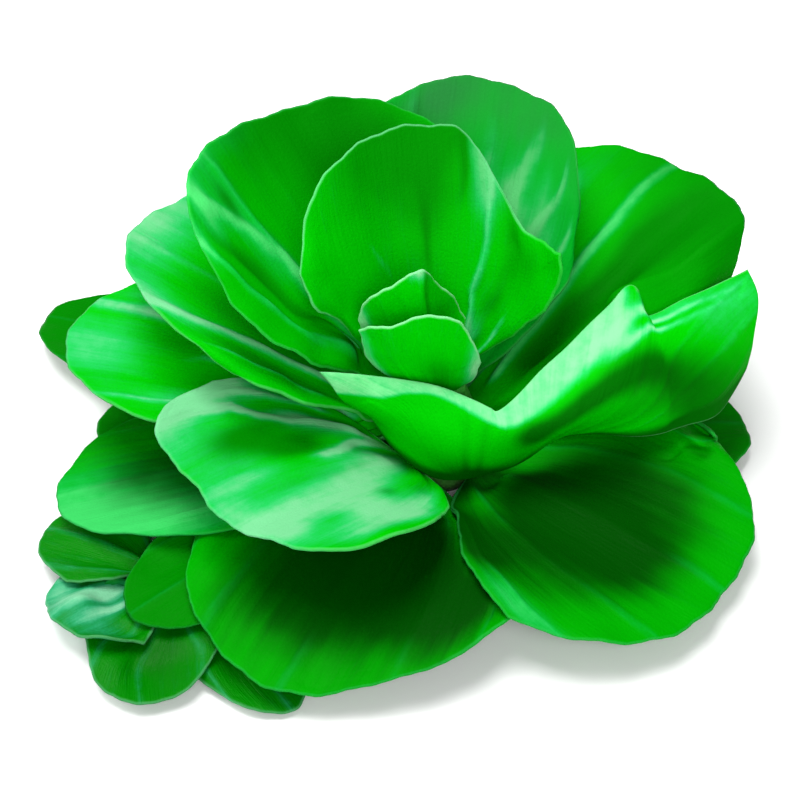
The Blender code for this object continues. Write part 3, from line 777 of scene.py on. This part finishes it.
# How pale the turned-out band is: the hairs' bloom with painted sheen where it faces up.
FOLDED_BAND_BLOOM_AND_SHEEN = 0.82
FOLDED_BAND_END = (0.62, 0.7)
FOLDED_STEM = (0.3, 0.16)
# Patches of painted shade on the folded leaf, (down, up, length, breadth, strength).
FOLDED_PAINTED_SHADE = ((0.88, 0.05, 0.14, 0.2, 0.9), (0.34, 0.1, 0.14, 0.22, 0.7), (0.43, 0.6, 0.035, 0.14, 0.8),
               (0.49, 0.64, 0.07, 0.09, 0.7), (0.57, 0.66, 0.08, 0.09, 0.8), (0.66, 0.6, 0.08, 0.1, 0.75),
               (0.75, 0.5, 0.1, 0.12, 0.6), (0.6, 0.35, 0.16, 0.16, 0.3), (0.82, 0.34, 0.13, 0.16, 0.65))
# Pale patches on the folded leaf: the hairs' bloom and painted sheen.
FOLDED_PALE_AND_SHEEN = ((0.76, 0.87, 0.14, 0.035, 0.9), (0.74, 0.76, 0.12, 0.025, 0.8), (0.95, 0.75, 0.1, 0.3, 0.35),
               (0.78, 0.95, 0.1, 0.05, 0.3))


def folded_sheet():
    """The inner face: smooth along its four lines, then smooth across them."""
    along = np.linspace(0.0, 1.0, FOLDED_GRID[0])
    up = np.linspace(0.0, 1.0, FOLDED_GRID[1])
    return lofted(FOLDED_LINES.values(), up, along).transpose(1, 0, 2)


def folded_thickness():
    """Thickness: 1 + 0.7 sin(pi * up), and fleshier where the leaf leaves the stem."""
    along = np.linspace(0.0, 1.0, FOLDED_GRID[0])[:, None]
    up = np.linspace(0.0, 1.0, FOLDED_GRID[1])[None, :]
    near_stem = np.exp(-(((along - FOLDED_STEM[0]) / FOLDED_STEM[1]) ** 2))
    return 1.0 + 0.7 * np.sin(np.pi * up) + near_stem * (1 - up)


def folded_blade(sheet, thickness, finish):
    """The visible folded leaf. Its ribs fan out from a base below the bulge.

    A point's direction from that base plays the part of across, and its distance that of along.
    The ribs stand on the outer face, and the pale band starts at the crease; the band is the hairs'
    bloom with painted sheen, and painted shade lies in streaks and along the edge next to the stem.
    """
    down, over, fine, thick, normal, from_rim, round_rim = fine_sheet(sheet, thickness, FOLDED_FINE)
    far = (down - FOLDED_BASE[0]) * FOLDED_SIZE[0] + 0.0 * over
    high = (over - FOLDED_BASE[1]) * FOLDED_SIZE[1] + 0.0 * far
    distance = np.hypot(far, high)
    direction = np.arctan2(high, far)
    along = distance / FOLDED_REACH
    ribs = [(straight(angle), 0.35, 1.2, 0.45) for angle in FOLDED_RIBS]
    ribs += [(straight(angle, 0.02, 0.5), 0.0, 2.2, -0.25) for angle in FOLDED_STREAKS]
    raised, ridge_bloom_and_highlight, dark = relief(ribs, along, lambda angle: (direction - angle) * distance)
    waves = two_waves(round_rim, FOLDED_RIPPLE_LENGTHS)
    ripple = FOLDED_RIPPLE * waves * np.exp(-((from_rim / RIM_REACH) ** 2))
    rounded = rounded_off(thick, from_rim)
    upper = fine + normal * (ripple - 0.5 * (thick - rounded))[..., None]
    outer = raised * smooth_step(0.0, RIB_FREE, from_rim)
    lower = upper - normal * (rounded + outer)[..., None]
    up = over + 0.0 * far
    crease = smooth_through(FOLDED_CREASE, down[:, 0])[:, None]
    band = smooth_step(crease - 0.04, crease + 0.06, up)
    band = band * (1.0 - smooth_step(*FOLDED_BAND_END, down))
    facts = {
        "along": along,
        "across": direction,
        "from_rim": from_rim,
        "rib": ridge_bloom_and_highlight,
        # The band and pale patches are bloom with painted sheen; painted shade comes from patches, rib
        # streaks of negative paleness and a band along the edge next to the stem.
        "pale": FOLDED_BAND_BLOOM_AND_SHEEN * band + patches(FOLDED_PALE_AND_SHEEN, down, up),
        "deep": patches(FOLDED_PAINTED_SHADE, down, up) + dark + 1.0 - smooth_step(0.0, 0.14, up),
    }
    return closed_sheet("folded_leaf_blade", upper, lower, facts, finish)


folded_form = (folded_sheet(), folded_thickness())
grown.append(("folded_leaf", *dense(*folded_form)))
folded_green = leaf_finish("folded leaf", (0.0, 0.42, 0.0), (0.0, 0.10, 0.0), (0.20, 0.66, 0.27),
                           rib_bloom_and_highlight=0.3, painted_rim_highlight=0.35, under_light=-0.1)
folded = folded_blade(*folded_form, folded_green)
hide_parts("folded_leaf")
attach(folded, "root")


# The back leaves. Three broad leaves stand up round the back of the plant, each grown from the
# stem and pleated along ribs that fan out from there, with painted shade in their grooves and
# patches. The rearmost one is the oldest and greyest.
back_green = leaf_finish("back leaf", (0.0, 0.31, 0.0), (0.0, 0.15, 0.0), (0.05, 0.50, 0.11),
                         rib_bloom_and_highlight=0.9, painted_rim_highlight=0.3)
old_back_green = leaf_finish("old back leaf", (0.0, 0.25, 0.01), (0.015, 0.13, 0.03),
                             (0.06, 0.34, 0.1), rib_bloom_and_highlight=0.7, painted_rim_highlight=0.3, mottle=0.4)
grow(Leaf("back_left_leaf", 131, 18.6, 75, 40, (55, 37), cup=(1.4, 0.5, 0.6),
          reach=(1.04, 1.1, 1.09, 1.03, 1.0, 1.0, 1.0, 1.0, 1.0), over=("folded_leaf",),
          ribs=((((0.2, -0.32), (0.63, -0.34), (0.79, -0.36), (1.2, -0.4)), 0.8, 1.0, 0.4),
                (((0.2, -0.34), (0.7, -0.36), (0.81, -0.44), (0.93, -0.56), (1.2, -0.7)), 1.3, 2.2, 0.65),
                (((0.2, -0.5), (0.55, -0.51), (0.73, -0.56), (0.95, -0.66)), -1.2, 2.4, -0.7),
                (((0.2, -0.68), (0.55, -0.7), (0.79, -0.77), (1.2, -0.82)), 1.0, 1.8, 0.45),
                (straight(0.1, 0.3), -0.4, 4.0, -0.2), (straight(-0.12, 0.4), 0.3, 1.4, 0.15)),
          pale=((0.95, -0.59, 0.08, 0.07, 0.7), (0.62, -0.34, 0.1, 0.04, 0.5), (1.0, -0.25, 0.04, 0.3, 0.3),
                (0.84, -0.42, 0.2, 0.06, 0.3), (0.98, -0.78, 0.06, 0.06, 0.5)),
          deep=((1.02, 0.1, 0.26, 0.5, 1.0), (0.88, -0.43, 0.05, 0.035, 0.6), (0.75, 0.3, 0.2, 0.3, 0.3))),
     back_green, "leaf")
grow(Leaf("back_leaf", 82, 15.5, 80, 34, (53, 30), cup=(1.5, 0.5, 0.5),
          reach=(1.0, 1.0, 1.0, 1.0, 1.0, 1.0, 1.0, 0.95, 0.86),
          ribs=((straight(-0.6), 0.7, 1.6, 0.5), (straight(-0.3), 0.7, 1.6, 0.5),
                (((0.4, 0.14), (0.88, 0.1), (1.0, 0.06)), 0.5, 2.4, 0.6),
                (((0.2, 0.2), (0.69, 0.24), (0.79, 0.31), (0.91, 0.36), (1.0, 0.38)), 0.9, 2.2, 1.0),
                (((0.4, 0.4), (0.67, 0.46), (0.8, 0.56), (1.0, 0.6)), 0.8, 1.5, 0.9),
                (((0.4, 0.68), (0.69, 0.73), (0.9, 0.78)), 0.6, 1.8, 0.9)),
          pale=((0.68, 0.24, 0.12, 0.1, 0.9), (0.62, 0.5, 0.12, 0.2, 0.6), (0.78, 0.45, 0.1, 0.05, 0.3)),
          deep=((0.98, 0.25, 0.14, 0.5, 0.5), (0.95, -0.2, 0.15, 0.2, 0.4))), old_back_green, "leaf")
grow(Leaf("back_right_leaf", 40, 13, 83, 38, (42, 12), cup=(1.4, 0.4, 0.3), base_half_width=5,
          reach=(1.0, 1.0, 1.0, 1.04, 1.2), over=("folded_leaf",),
          ribs=((((0.2, -0.5), (0.7, -0.56), (1.2, -0.62)), 0.9, 1.8, 0.7),
                (((0.2, -0.3), (0.79, -0.33), (0.95, -0.45)), 0.8, 1.6, 0.7),
                (((0.1, 0.0), (0.57, -0.02), (0.69, -0.06), (0.9, -0.1), (1.2, -0.12)), 1.2, 1.5, 0.9),
                (((0.2, 0.11), (0.64, 0.14), (0.9, 0.14), (1.0, 0.12)), -1.8, 4.0, -1.0),
                (((0.2, 0.28), (0.86, 0.38), (1.2, 0.44)), 1.0, 2.0, 0.1),
                (straight(0.6, 0.2), -0.5, 2.4, -0.2)),
          pale=((0.72, -0.4, 0.2, 0.12, 0.4),),
          deep=((0.92, 0.35, 0.25, 0.35, 0.8), (1.0, -0.15, 0.14, 0.4, 0.5), (0.5, 0.3, 0.2, 0.2, 0.4))),
     back_green, "leaf")


# The left leaves. Three leaves grow from the stem and spread out to the left, one above the
# other, with strong pale ribs and a pale bloom of fine hairs on their raised parts, a painted
# highlight on the bloom, and painted shade in patches and grooves.
left_green = leaf_finish("left leaf", (0.0, 0.36, 0.0), (0.0, 0.15, 0.0), (0.13, 0.45, 0.2),
                         rib_bloom_and_highlight=0.9, painted_rim_highlight=0.3)
grow(Leaf("upper_left_leaf", 152, 14.2, 79, 37, (40, 12), cup=(1.5, 0.4, 0.5), base_half_width=3.2,
          reach=(0.88, 0.97, 1.0, 0.95, 0.95),
          ribs=((((0.1, -0.38), (0.36, -0.41), (0.61, -0.46), (0.78, -0.51), (0.98, -0.56), (1.2, -0.6)),
                 1.1, 1.8, 0.8),
                (((0.3, -0.7), (0.7, -0.72), (0.95, -0.75)), 0.5, 1.4, 0.4),
                (((0.3, -0.1), (0.7, -0.12), (1.1, -0.15)), 0.4, 1.4, 0.3), (straight(0.4), 0.5, 1.6, 0.4)),
          pale=((1.0, 0.0, 0.1, 0.3, 0.8), (0.98, -0.52, 0.12, 0.12, 0.5)),
          deep=((0.7, -0.2, 0.2, 0.14, 0.4), (0.6, -0.62, 0.25, 0.1, 0.5))), left_green, "leaf")
grow(Leaf("front_left_leaf", 222, 10.3, 67, 33, (33, -2), cup=(0.4, 0.4, 0.4), taper=0.55,
          reach=(1.0, 0.97, 0.91, 0.86, 0.86, 0.87, 0.98, 1.1, 1.04),
          ribs=((((-0.1, 0.44), (0.4, 0.44), (0.52, 0.45), (0.63, 0.52), (0.73, 0.63), (0.9, 0.69),
                  (1.1, 0.7)), 0.6, 1.7, 1.0),
                (((-0.1, 0.4), (0.07, 0.36), (0.17, 0.27), (0.39, 0.16), (0.6, 0.1)), 0.6, 1.9, 1.0),
                (((0.2, 0.7), (0.47, 0.69), (0.6, 0.74), (0.95, 0.85)), 0.5, 1.8, 0.6),
                (((0.2, -0.02), (0.5, -0.04), (0.9, 0.0)), -0.5, 1.6, -0.2)),
          pale=((1.0, 0.8, 0.16, 0.3, 1.0), (0.9, 0.9, 0.2, 0.2, 0.8), (0.75, 0.8, 0.2, 0.1, 0.4),
                (0.25, 0.42, 0.2, 0.08, 0.9), (0.82, 0.12, 0.14, 0.05, 0.35), (0.84, 0.2, 0.16, 0.3, 0.25),
                (0.8, -0.2, 0.15, 0.12, 0.9), (0.92, -0.3, 0.08, 0.12, 0.6), (0.5, -0.18, 0.18, 0.14, 0.9),
                (0.22, -0.02, 0.2, 0.16, 0.9), (0.6, -0.68, 0.12, 0.22, 0.9), (0.62, -0.4, 0.12, 0.16, 0.7),
                (0.8, -0.62, 0.12, 0.16, 0.6), (0.49, 0.53, 0.1, 0.05, 0.7), (0.97, -0.15, 0.08, 0.3, 0.6),
                (0.4, -0.62, 0.16, 0.14, 0.7)),
          deep=((0.74, 0.38, 0.16, 0.12, 1.0), (0.56, 0.25, 0.14, 0.09, 1.0), (0.46, -0.36, 0.05, 0.08, 0.55),
                (0.28, -0.5, 0.1, 0.14, 0.4))), left_green, "leaf")
grow(Leaf("left_leaf", 170.5, 11.8, 82, 27, (24, 2), cup=(1.3, 0.3, 0.4), roll=(2, 8),
          taper=1.5, base_half_width=2.4, reach=(1.0, 1.0, 1.0, 1.0, 0.9),
          ribs=((straight(-0.5), 0.5, 1.5, 0.4), (((0.2, 0.0), (0.7, 0.02), (0.8, -0.12)), 0.6, 1.4, 0.7),
                (((0.1, 0.32), (0.6, 0.27), (1.2, 0.27)), 1.0, 2.0, 0.7)),
          pale=((0.95, -0.05, 0.1, 0.2, 0.5), (0.84, 0.4, 0.12, 0.12, 0.4), (0.7, -0.45, 0.2, 0.1, 0.4)),
          deep=((0.75, 0.1, 0.12, 0.12, 0.4),)), left_green, "leaf")


# The lower ring. Three broad old leaves grow low on the stem and lie almost flat under the others.
# Their green is painted deeper as shade under the leaves above, most in the middle away from the
# rim and in patches; they are smooth and evenly green under that, with faint ribs, and a pale
# patch near the right leaf's rim is painted sheen.
low_shaded_green = leaf_finish("lower leaf", (0.0, 0.25, 0.0), (0.0, 0.045, 0.0), (0.03, 0.40, 0.08),
                        rib_bloom_and_highlight=0.3, painted_rim_highlight=0.3, mottle=0.15, rough=0.5, centre=0.75)
grow(Leaf("lower_right_leaf", 323, 7.8, 69, 39, (8, -8), cup=(0.8, 0.15, 0.2), taper=0.82,
          base_half_width=5, reach=(1.0, 1.0, 0.985, 1.02, 1.05), pale=((0.86, 0.86, 0.2, 0.1, 0.5),),
          deep=((0.45, 0.1, 0.25, 0.3, 0.5), (0.7, 0.05, 0.15, 0.2, 0.25), (0.28, 0.85, 0.2, 0.35, 0.9),
                (0.5, 0.75, 0.18, 0.25, 0.8))), low_shaded_green, "leaf")
grow(Leaf("lower_left_leaf", 192, 8.1, 81, 24, (8, -7), base_half_width=3.5, grid=LOW,
          pale=((0.95, -0.35, 0.25, 0.4, 1.3),), deep=((0.85, 0.6, 0.3, 0.3, 0.6),)), low_shaded_green, "leaf")
grow(Leaf("lower_front_leaf", 245, 7.4, 71.5, 39, (8, -8), cup=(0.8, 0.2, 0.2), taper=0.8,
          base_half_width=5, reach=(1.0, 0.93, 1.0, 1.0, 1.0),
          deep=((0.5, -0.1, 0.25, 0.35, 0.7), (0.8, -0.6, 0.2, 0.3, 0.9), (0.95, 0.4, 0.15, 0.25, 0.3),
                (0.97, -0.1, 0.12, 0.3, 0.25))), low_shaded_green, "leaf")


# The outermost ring. Seven narrower old leaves grow from the foot of the stem and lie on the
# surface under all the others, dull, and painted a deeper green as shade under them, most in the
# middle.
outer_shaded_green = leaf_finish("outermost leaf", (0.0, 0.15, 0.0), (0.0, 0.04, 0.0), (0.02, 0.30, 0.05),
                          rib_bloom_and_highlight=0.3, painted_rim_highlight=0.3, rough=0.5, centre=0.3)
OUTER = dict(thick=(1.5, 1.5, 0.9), base_half_width=2.4, grid=LOW)
for leaf in (
    Leaf("outer_front_left_leaf", 218, 4.6, 76, 19, (10, -6), reach=(1.0, 1.0, 1.0, 1.0, 0.93), **OUTER),
    Leaf("outer_left_leaf", 153, 4.4, 105, 22, (8, -7), taper=2.0, **OUTER),
    Leaf("outer_side_leaf", 176.5, 4.6, 73, 17.5, (5, -4), taper=2.5,
         reach=(1.0, 1.0, 1.0, 1.1, 1.2), **OUTER),
    Leaf("outer_right_leaf", 9, 4, 66, 25, (6, -6), **OUTER),
    Leaf("outer_back_right_leaf", 44, 4.4, 76, 26, (8, -8), **OUTER),
    Leaf("outer_back_leaf", 84, 4, 76, 26, (8, -8), **OUTER),
    Leaf("outer_back_left_leaf", 120, 4, 74, 23, (4, -5), **OUTER),
):
    grow(leaf, outer_shaded_green, "shaded_leaf")


# The young offset plant. It has four small leaves with a slight gloss on a little stem of its own,
# and grows at the end of a runner from the main stem. Pale patches paint a reflection on the
# front-left leaf, and a patch of painted shade lies on the front one.
OFFSET_PLACE = (-62.0, -38.0)
OFFSET_RADIUS = 3.6
OFFSET_HEIGHT = 6.0
offset_stem = turned_stem("offset_stem_flesh", OFFSET_PLACE, OFFSET_HEIGHT, OFFSET_RADIUS, STEM_FINISH)
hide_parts("offset_stem")
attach(offset_stem, "root")
HOMES["offset"] = (OFFSET_PLACE, OFFSET_RADIUS, OFFSET_HEIGHT)
OFFSET = dict(thick=(1.0, 1.1, 0.8), base_half_width=1.6, stand_off=0.4, home="offset", grid=SMALL)
offset_green = leaf_finish("offset leaf", (0.0, 0.15, 0.0), (0.0, 0.04, 0.0), (0.16, 0.46, 0.26),
                           rib_bloom_and_highlight=0.25, painted_rim_highlight=0.25, mottle=0.3, rough=0.4, gloss=0.05)
for leaf in (
    Leaf("offset_leaf_left", 156, 2.8, 29, 14, (16, -10), **OFFSET),
    # Its pale patches are a painted reflection on the glossy leaf.
    Leaf("offset_leaf_front_left", 216, 5.2, 27, 16, (27, -15),
         pale=((0.62, 0.1, 0.25, 0.14, 1.5), (0.6, -0.2, 0.2, 0.06, 1.2), (0.9, 0.4, 0.15, 0.3, 0.6),
               (0.85, -0.3, 0.15, 0.3, 0.35)),
         **OFFSET),
    Leaf("offset_leaf_front", 266, 2.6, 34, 15, (11, -8), taper=2.6,
         deep=((0.65, -0.2, 0.3, 0.5, 0.5),), **OFFSET),
    Leaf("offset_leaf_front_right", 308, 1.9, 44, 12, (2, -2), taper=2.0, **OFFSET),
):
    grow(leaf, offset_green, "offset_leaf")


# The runner. It is a smooth, fleshy green shoot that lies on the surface under the leaves, and its
# two ends are grown onto the sides of the two stems.
RUNNER_RADIUS = 0.9
RUNNER_BOW = -5.0
RUNNER_RINGS = 60
RUNNER_SIDES = 20


def tube(line, radius, sides):
    """A closed tube: rings of points round a line, in the plane across it, and a point at each end.

    The ring's directions are the level one across the line and the one across both.
    """
    ahead = np.gradient(line, axis=0)
    ahead = ahead / np.linalg.norm(ahead, axis=-1, keepdims=True)
    level = np.cross(ahead, np.array([0.0, 0.0, 1.0]))
    level = level / np.maximum(np.linalg.norm(level, axis=-1, keepdims=True), 1e-6)
    downward = np.cross(ahead, level)
    turn = np.linspace(0.0, 2.0 * np.pi, sides, endpoint=False)[None, :, None]
    ring = level[:, None] * np.cos(turn) + downward[:, None] * np.sin(turn)
    return capped_rings(line[:, None] + ring * radius[:, None, None], line[[0, -1]])


def bowed_line(start, end, bow, count):
    """Points from start to end along a shallow arc: bow * 4 * share * (1 - share) to one side."""
    share = np.linspace(0.0, 1.0, count)[:, None]
    span = end - start
    sideways = np.array([-span[1], span[0]]) / np.linalg.norm(span)
    return start + span * share + sideways * bow * 4 * share * (1 - share)


def cloudy_finish(name, gloss, lumps, stops, rough, grain):
    """Soft skin: cloudy noise picks the colour along the stops and makes the skin a little rougher."""
    shader = Shader(name, Specular_IOR_Level=gloss)
    where = shader.places()
    cloud = shader.noise(where, lumps, 3.0)
    shader.wire(Base_Color=shader.ramp(cloud, stops))
    shader.wire(Roughness=rough + cloud * 0.3)
    shader.bump(shader.noise(where, grain, 2.0), 0.0002)
    return shader.material


RUNNER_GREENS = [(0.0, (0.02, 0.26, 0.01)), (1.0, (0.12, 0.46, 0.06))]
RUNNER_FINISH = cloudy_finish("runner", gloss=0.3, lumps=200.0, stops=RUNNER_GREENS, rough=0.35,
                              grain=1500.0)
offset_place = np.array(OFFSET_PLACE)
toward = offset_place / np.linalg.norm(offset_place)
runner_line = bowed_line(toward * (STEM_RADIUS + TOUCH_GAP),
                         offset_place - toward * (OFFSET_RADIUS + TOUCH_GAP), RUNNER_BOW, RUNNER_RINGS)
runner_line = np.column_stack([runner_line, np.full(RUNNER_RINGS, RUNNER_RADIUS + TOUCH_GAP)])
points, faces = tube(runner_line, np.full(RUNNER_RINGS, RUNNER_RADIUS), RUNNER_SIDES)
runner = put_mesh("runner_shoot", points, faces, {}, RUNNER_FINISH)
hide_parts("runner")
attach(runner, "root")


# The roots. They spread over the surface from the foot of the stem, brown and soft, and fine side
# roots stand off both sides of each one like the barbs of a feather.
ROOT_RADIUS = 0.95
ROOT_TIP_SHARE = 0.4
ROOT_BOW = 0.35
ROOT_RINGS = 48
ROOT_SIDES = 12
ROOTLETS = 90
ROOTLET_RADIUS = 0.11
ROOTLET_THINNING = 0.75
ROOTLET_RINGS = 6
ROOTLET_SIDES = 3
ROOTLET_PLACES = (0.08, 0.98)
ROOTLET_SLANTS = (0.2, 1.0)
ROOTLET_LENGTHS = (2.0, 4.5)
ROOTLET_BEND = 1.2
ROOTS = [
    # Azimuth in degrees, reach, and how far the end lies to one side.
    (22, 38, 9), (64, 44, -7), (103, 36, 6), (138, 46, 8), (166, 40, -4), (190, 32, -6),
    (236, 42, -6), (262, 47, 5), (288, 39, 4), (312, 45, 7), (341, 35, -5),
]


def rootlets(line, random):
    """Side roots as thin cones: three-sided, bent outwards and down to the surface.

    Each starts on the root at a random place, leaves it to one side at a slant and tapers away.
    """
    spot = random.uniform(*ROOTLET_PLACES, ROOTLETS) * (len(line) - 1)
    cell = np.minimum(spot.astype(int), len(line) - 2)
    part = (spot - cell)[:, None]
    start = line[cell] * (1 - part) + line[cell + 1] * part
    ahead = line[cell + 1] - line[cell]
    ahead = ahead / np.linalg.norm(ahead, axis=1, keepdims=True)
    side = np.column_stack([-ahead[:, 1], ahead[:, 0], np.zeros(ROOTLETS)])
    side = side * np.where(np.arange(ROOTLETS) % 2, 1.0, -1.0)[:, None]
    slant = random.uniform(*ROOTLET_SLANTS, (ROOTLETS, 1))
    long = random.uniform(*ROOTLET_LENGTHS, (ROOTLETS, 1))
    way = (side + ahead * slant) / np.linalg.norm(side + ahead * slant, axis=1, keepdims=True)
    t = np.linspace(0.0, 1.0, ROOTLET_RINGS)[None, :, None]
    curve = start[:, None] + way[:, None] * long[:, None] * t + ahead[:, None] * ROOTLET_BEND * t**2
    level = start[:, None, 2:] * (1 - t) + (ROOTLET_RADIUS + 0.1) * t
    curve = np.concatenate([curve[..., :2], level], axis=-1)
    across = np.cross(way, np.array([0.0, 0.0, 1.0]))[:, None, None]
    turn = np.linspace(0.0, 2.0 * np.pi, ROOTLET_SIDES, endpoint=False)[None, None, :, None]
    ring = across * np.cos(turn) + np.array([0.0, 0.0, 1.0]) * np.sin(turn)
    thin = ROOTLET_RADIUS * (1.0 - ROOTLET_THINNING * t)[..., None]
    points = (curve[:, :, None] + ring * thin).reshape(-1, 3)
    index = np.arange(len(points)).reshape(ROOTLETS, ROOTLET_RINGS, ROOTLET_SIDES)
    ends = np.concatenate([index[:, 0, [0, 2, 1, 0]], index[:, -1, [0, 1, 2, 0]]])
    sides = grid_faces(np.concatenate([index, index[..., :1]], axis=2))
    return points, np.concatenate([sides, ends])


ROOT_BROWNS = [(0.3, (0.05, 0.04, 0.015)), (0.5, (0.20, 0.15, 0.06)), (0.7, (0.16, 0.24, 0.06))]
ROOT_FINISH = cloudy_finish("soft root", gloss=0.2, lumps=160.0, stops=ROOT_BROWNS, rough=0.6,
                            grain=2000.0)
for number, (azimuth, reach, bend) in enumerate(ROOTS, start=1):
    random = np.random.default_rng(number)
    out = np.array([math.cos(math.radians(azimuth)), math.sin(math.radians(azimuth))])
    side = np.array([-out[1], out[0]])
    flat = bowed_line(out * (STEM_RADIUS + TOUCH_GAP), out * reach + side * bend,
                      ROOT_BOW * bend, ROOT_RINGS)
    thin = ROOT_RADIUS * np.linspace(1.0, ROOT_TIP_SHARE, ROOT_RINGS)
    line = np.column_stack([flat, thin + TOUCH_GAP])
    points, faces = tube(line, thin, ROOT_SIDES)
    hairs, hair_faces = rootlets(line, random)
    faces = np.concatenate([faces, hair_faces + len(points)])
    root = put_mesh(f"root_{number}_feathery", np.concatenate([points, hairs]), faces, {}, ROOT_FINISH)
    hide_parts(f"root_{number}")
    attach(root, "root")


# The stage: a plain pale floor, soft studio light from above, and a camera that looks down on the
# plant as the photograph does.
def floor_finish():
    """Plain pale floor with the faintest unevenness."""
    shader = Shader("pale floor", Specular_IOR_Level=0.1)
    cloud = shader.noise(shader.places(), 6.0, 2.0)
    shader.wire(Base_Color=shader.mix(cloud, opaque(0.84, 0.84, 0.84), opaque(0.88, 0.88, 0.88)))
    shader.wire(Roughness=0.8 + cloud * 0.1)
    return shader.material


FLOOR_HALF = 1500.0
FLOOR_DROP = 0.02
corner = np.array([[-1, -1, 0], [1, -1, 0], [1, 1, 0], [-1, 1, 0]], float) * FLOOR_HALF
floor = put_mesh("floor", corner - np.array([0, 0, FLOOR_DROP]), np.array([[0, 1, 2, 3]]), {},
                 floor_finish())


def soft_light(name, place, target, size, power):
    """A square soft light that faces a target. Places are in metres."""
    lamp = bpy.data.lights.new(name, "AREA")
    lamp.size = size
    lamp.energy = power
    made = bpy.data.objects.new(name, lamp)
    bpy.context.scene.collection.objects.link(made)
    made.location = place
    made.rotation_mode = "QUATERNION"
    made.rotation_quaternion = (Vector(target) - Vector(place)).to_track_quat("-Z", "Y")


soft_light("top light", (-0.15, 0.1, 0.8), (0.0, 0.0, 0.0), 0.5, 8.0)
soft_light("front light", (0.1, -0.7, 0.5), (0.0, 0.0, 0.02), 0.5, 5.0)
soft_light("left light", (-0.7, 0.1, 0.45), (0.0, 0.0, 0.02), 0.4, 2.5)
WORLD_LIGHT = 0.35
world = bpy.data.worlds.new("studio")
bpy.context.scene.world = world
world.use_nodes = True
world.node_tree.nodes["Background"].inputs["Color"].default_value = (1.0, 1.0, 1.0, 1.0)
world.node_tree.nodes["Background"].inputs["Strength"].default_value = WORLD_LIGHT
bpy.context.scene.view_settings.view_transform = "Standard"

CAMERA_ELEVATION = 42.0
CAMERA_DISTANCE = 0.420
CAMERA_TARGET = (-0.0095, 0.0, 0.0223)
CAMERA_LENS = 79.8
CAMERA_SENSOR = 36.0
camera = bpy.data.cameras.new("camera")
camera.lens = CAMERA_LENS
camera.sensor_width = CAMERA_SENSOR
eye = bpy.data.objects.new("camera", camera)
bpy.context.scene.collection.objects.link(eye)
tilt = math.radians(CAMERA_ELEVATION)
back = Vector((0.0, -math.cos(tilt), math.sin(tilt)))
eye.location = Vector(CAMERA_TARGET) + back * CAMERA_DISTANCE
eye.rotation_mode = "QUATERNION"
eye.rotation_quaternion = (-back).to_track_quat("-Z", "Y")
bpy.context.scene.camera = eye
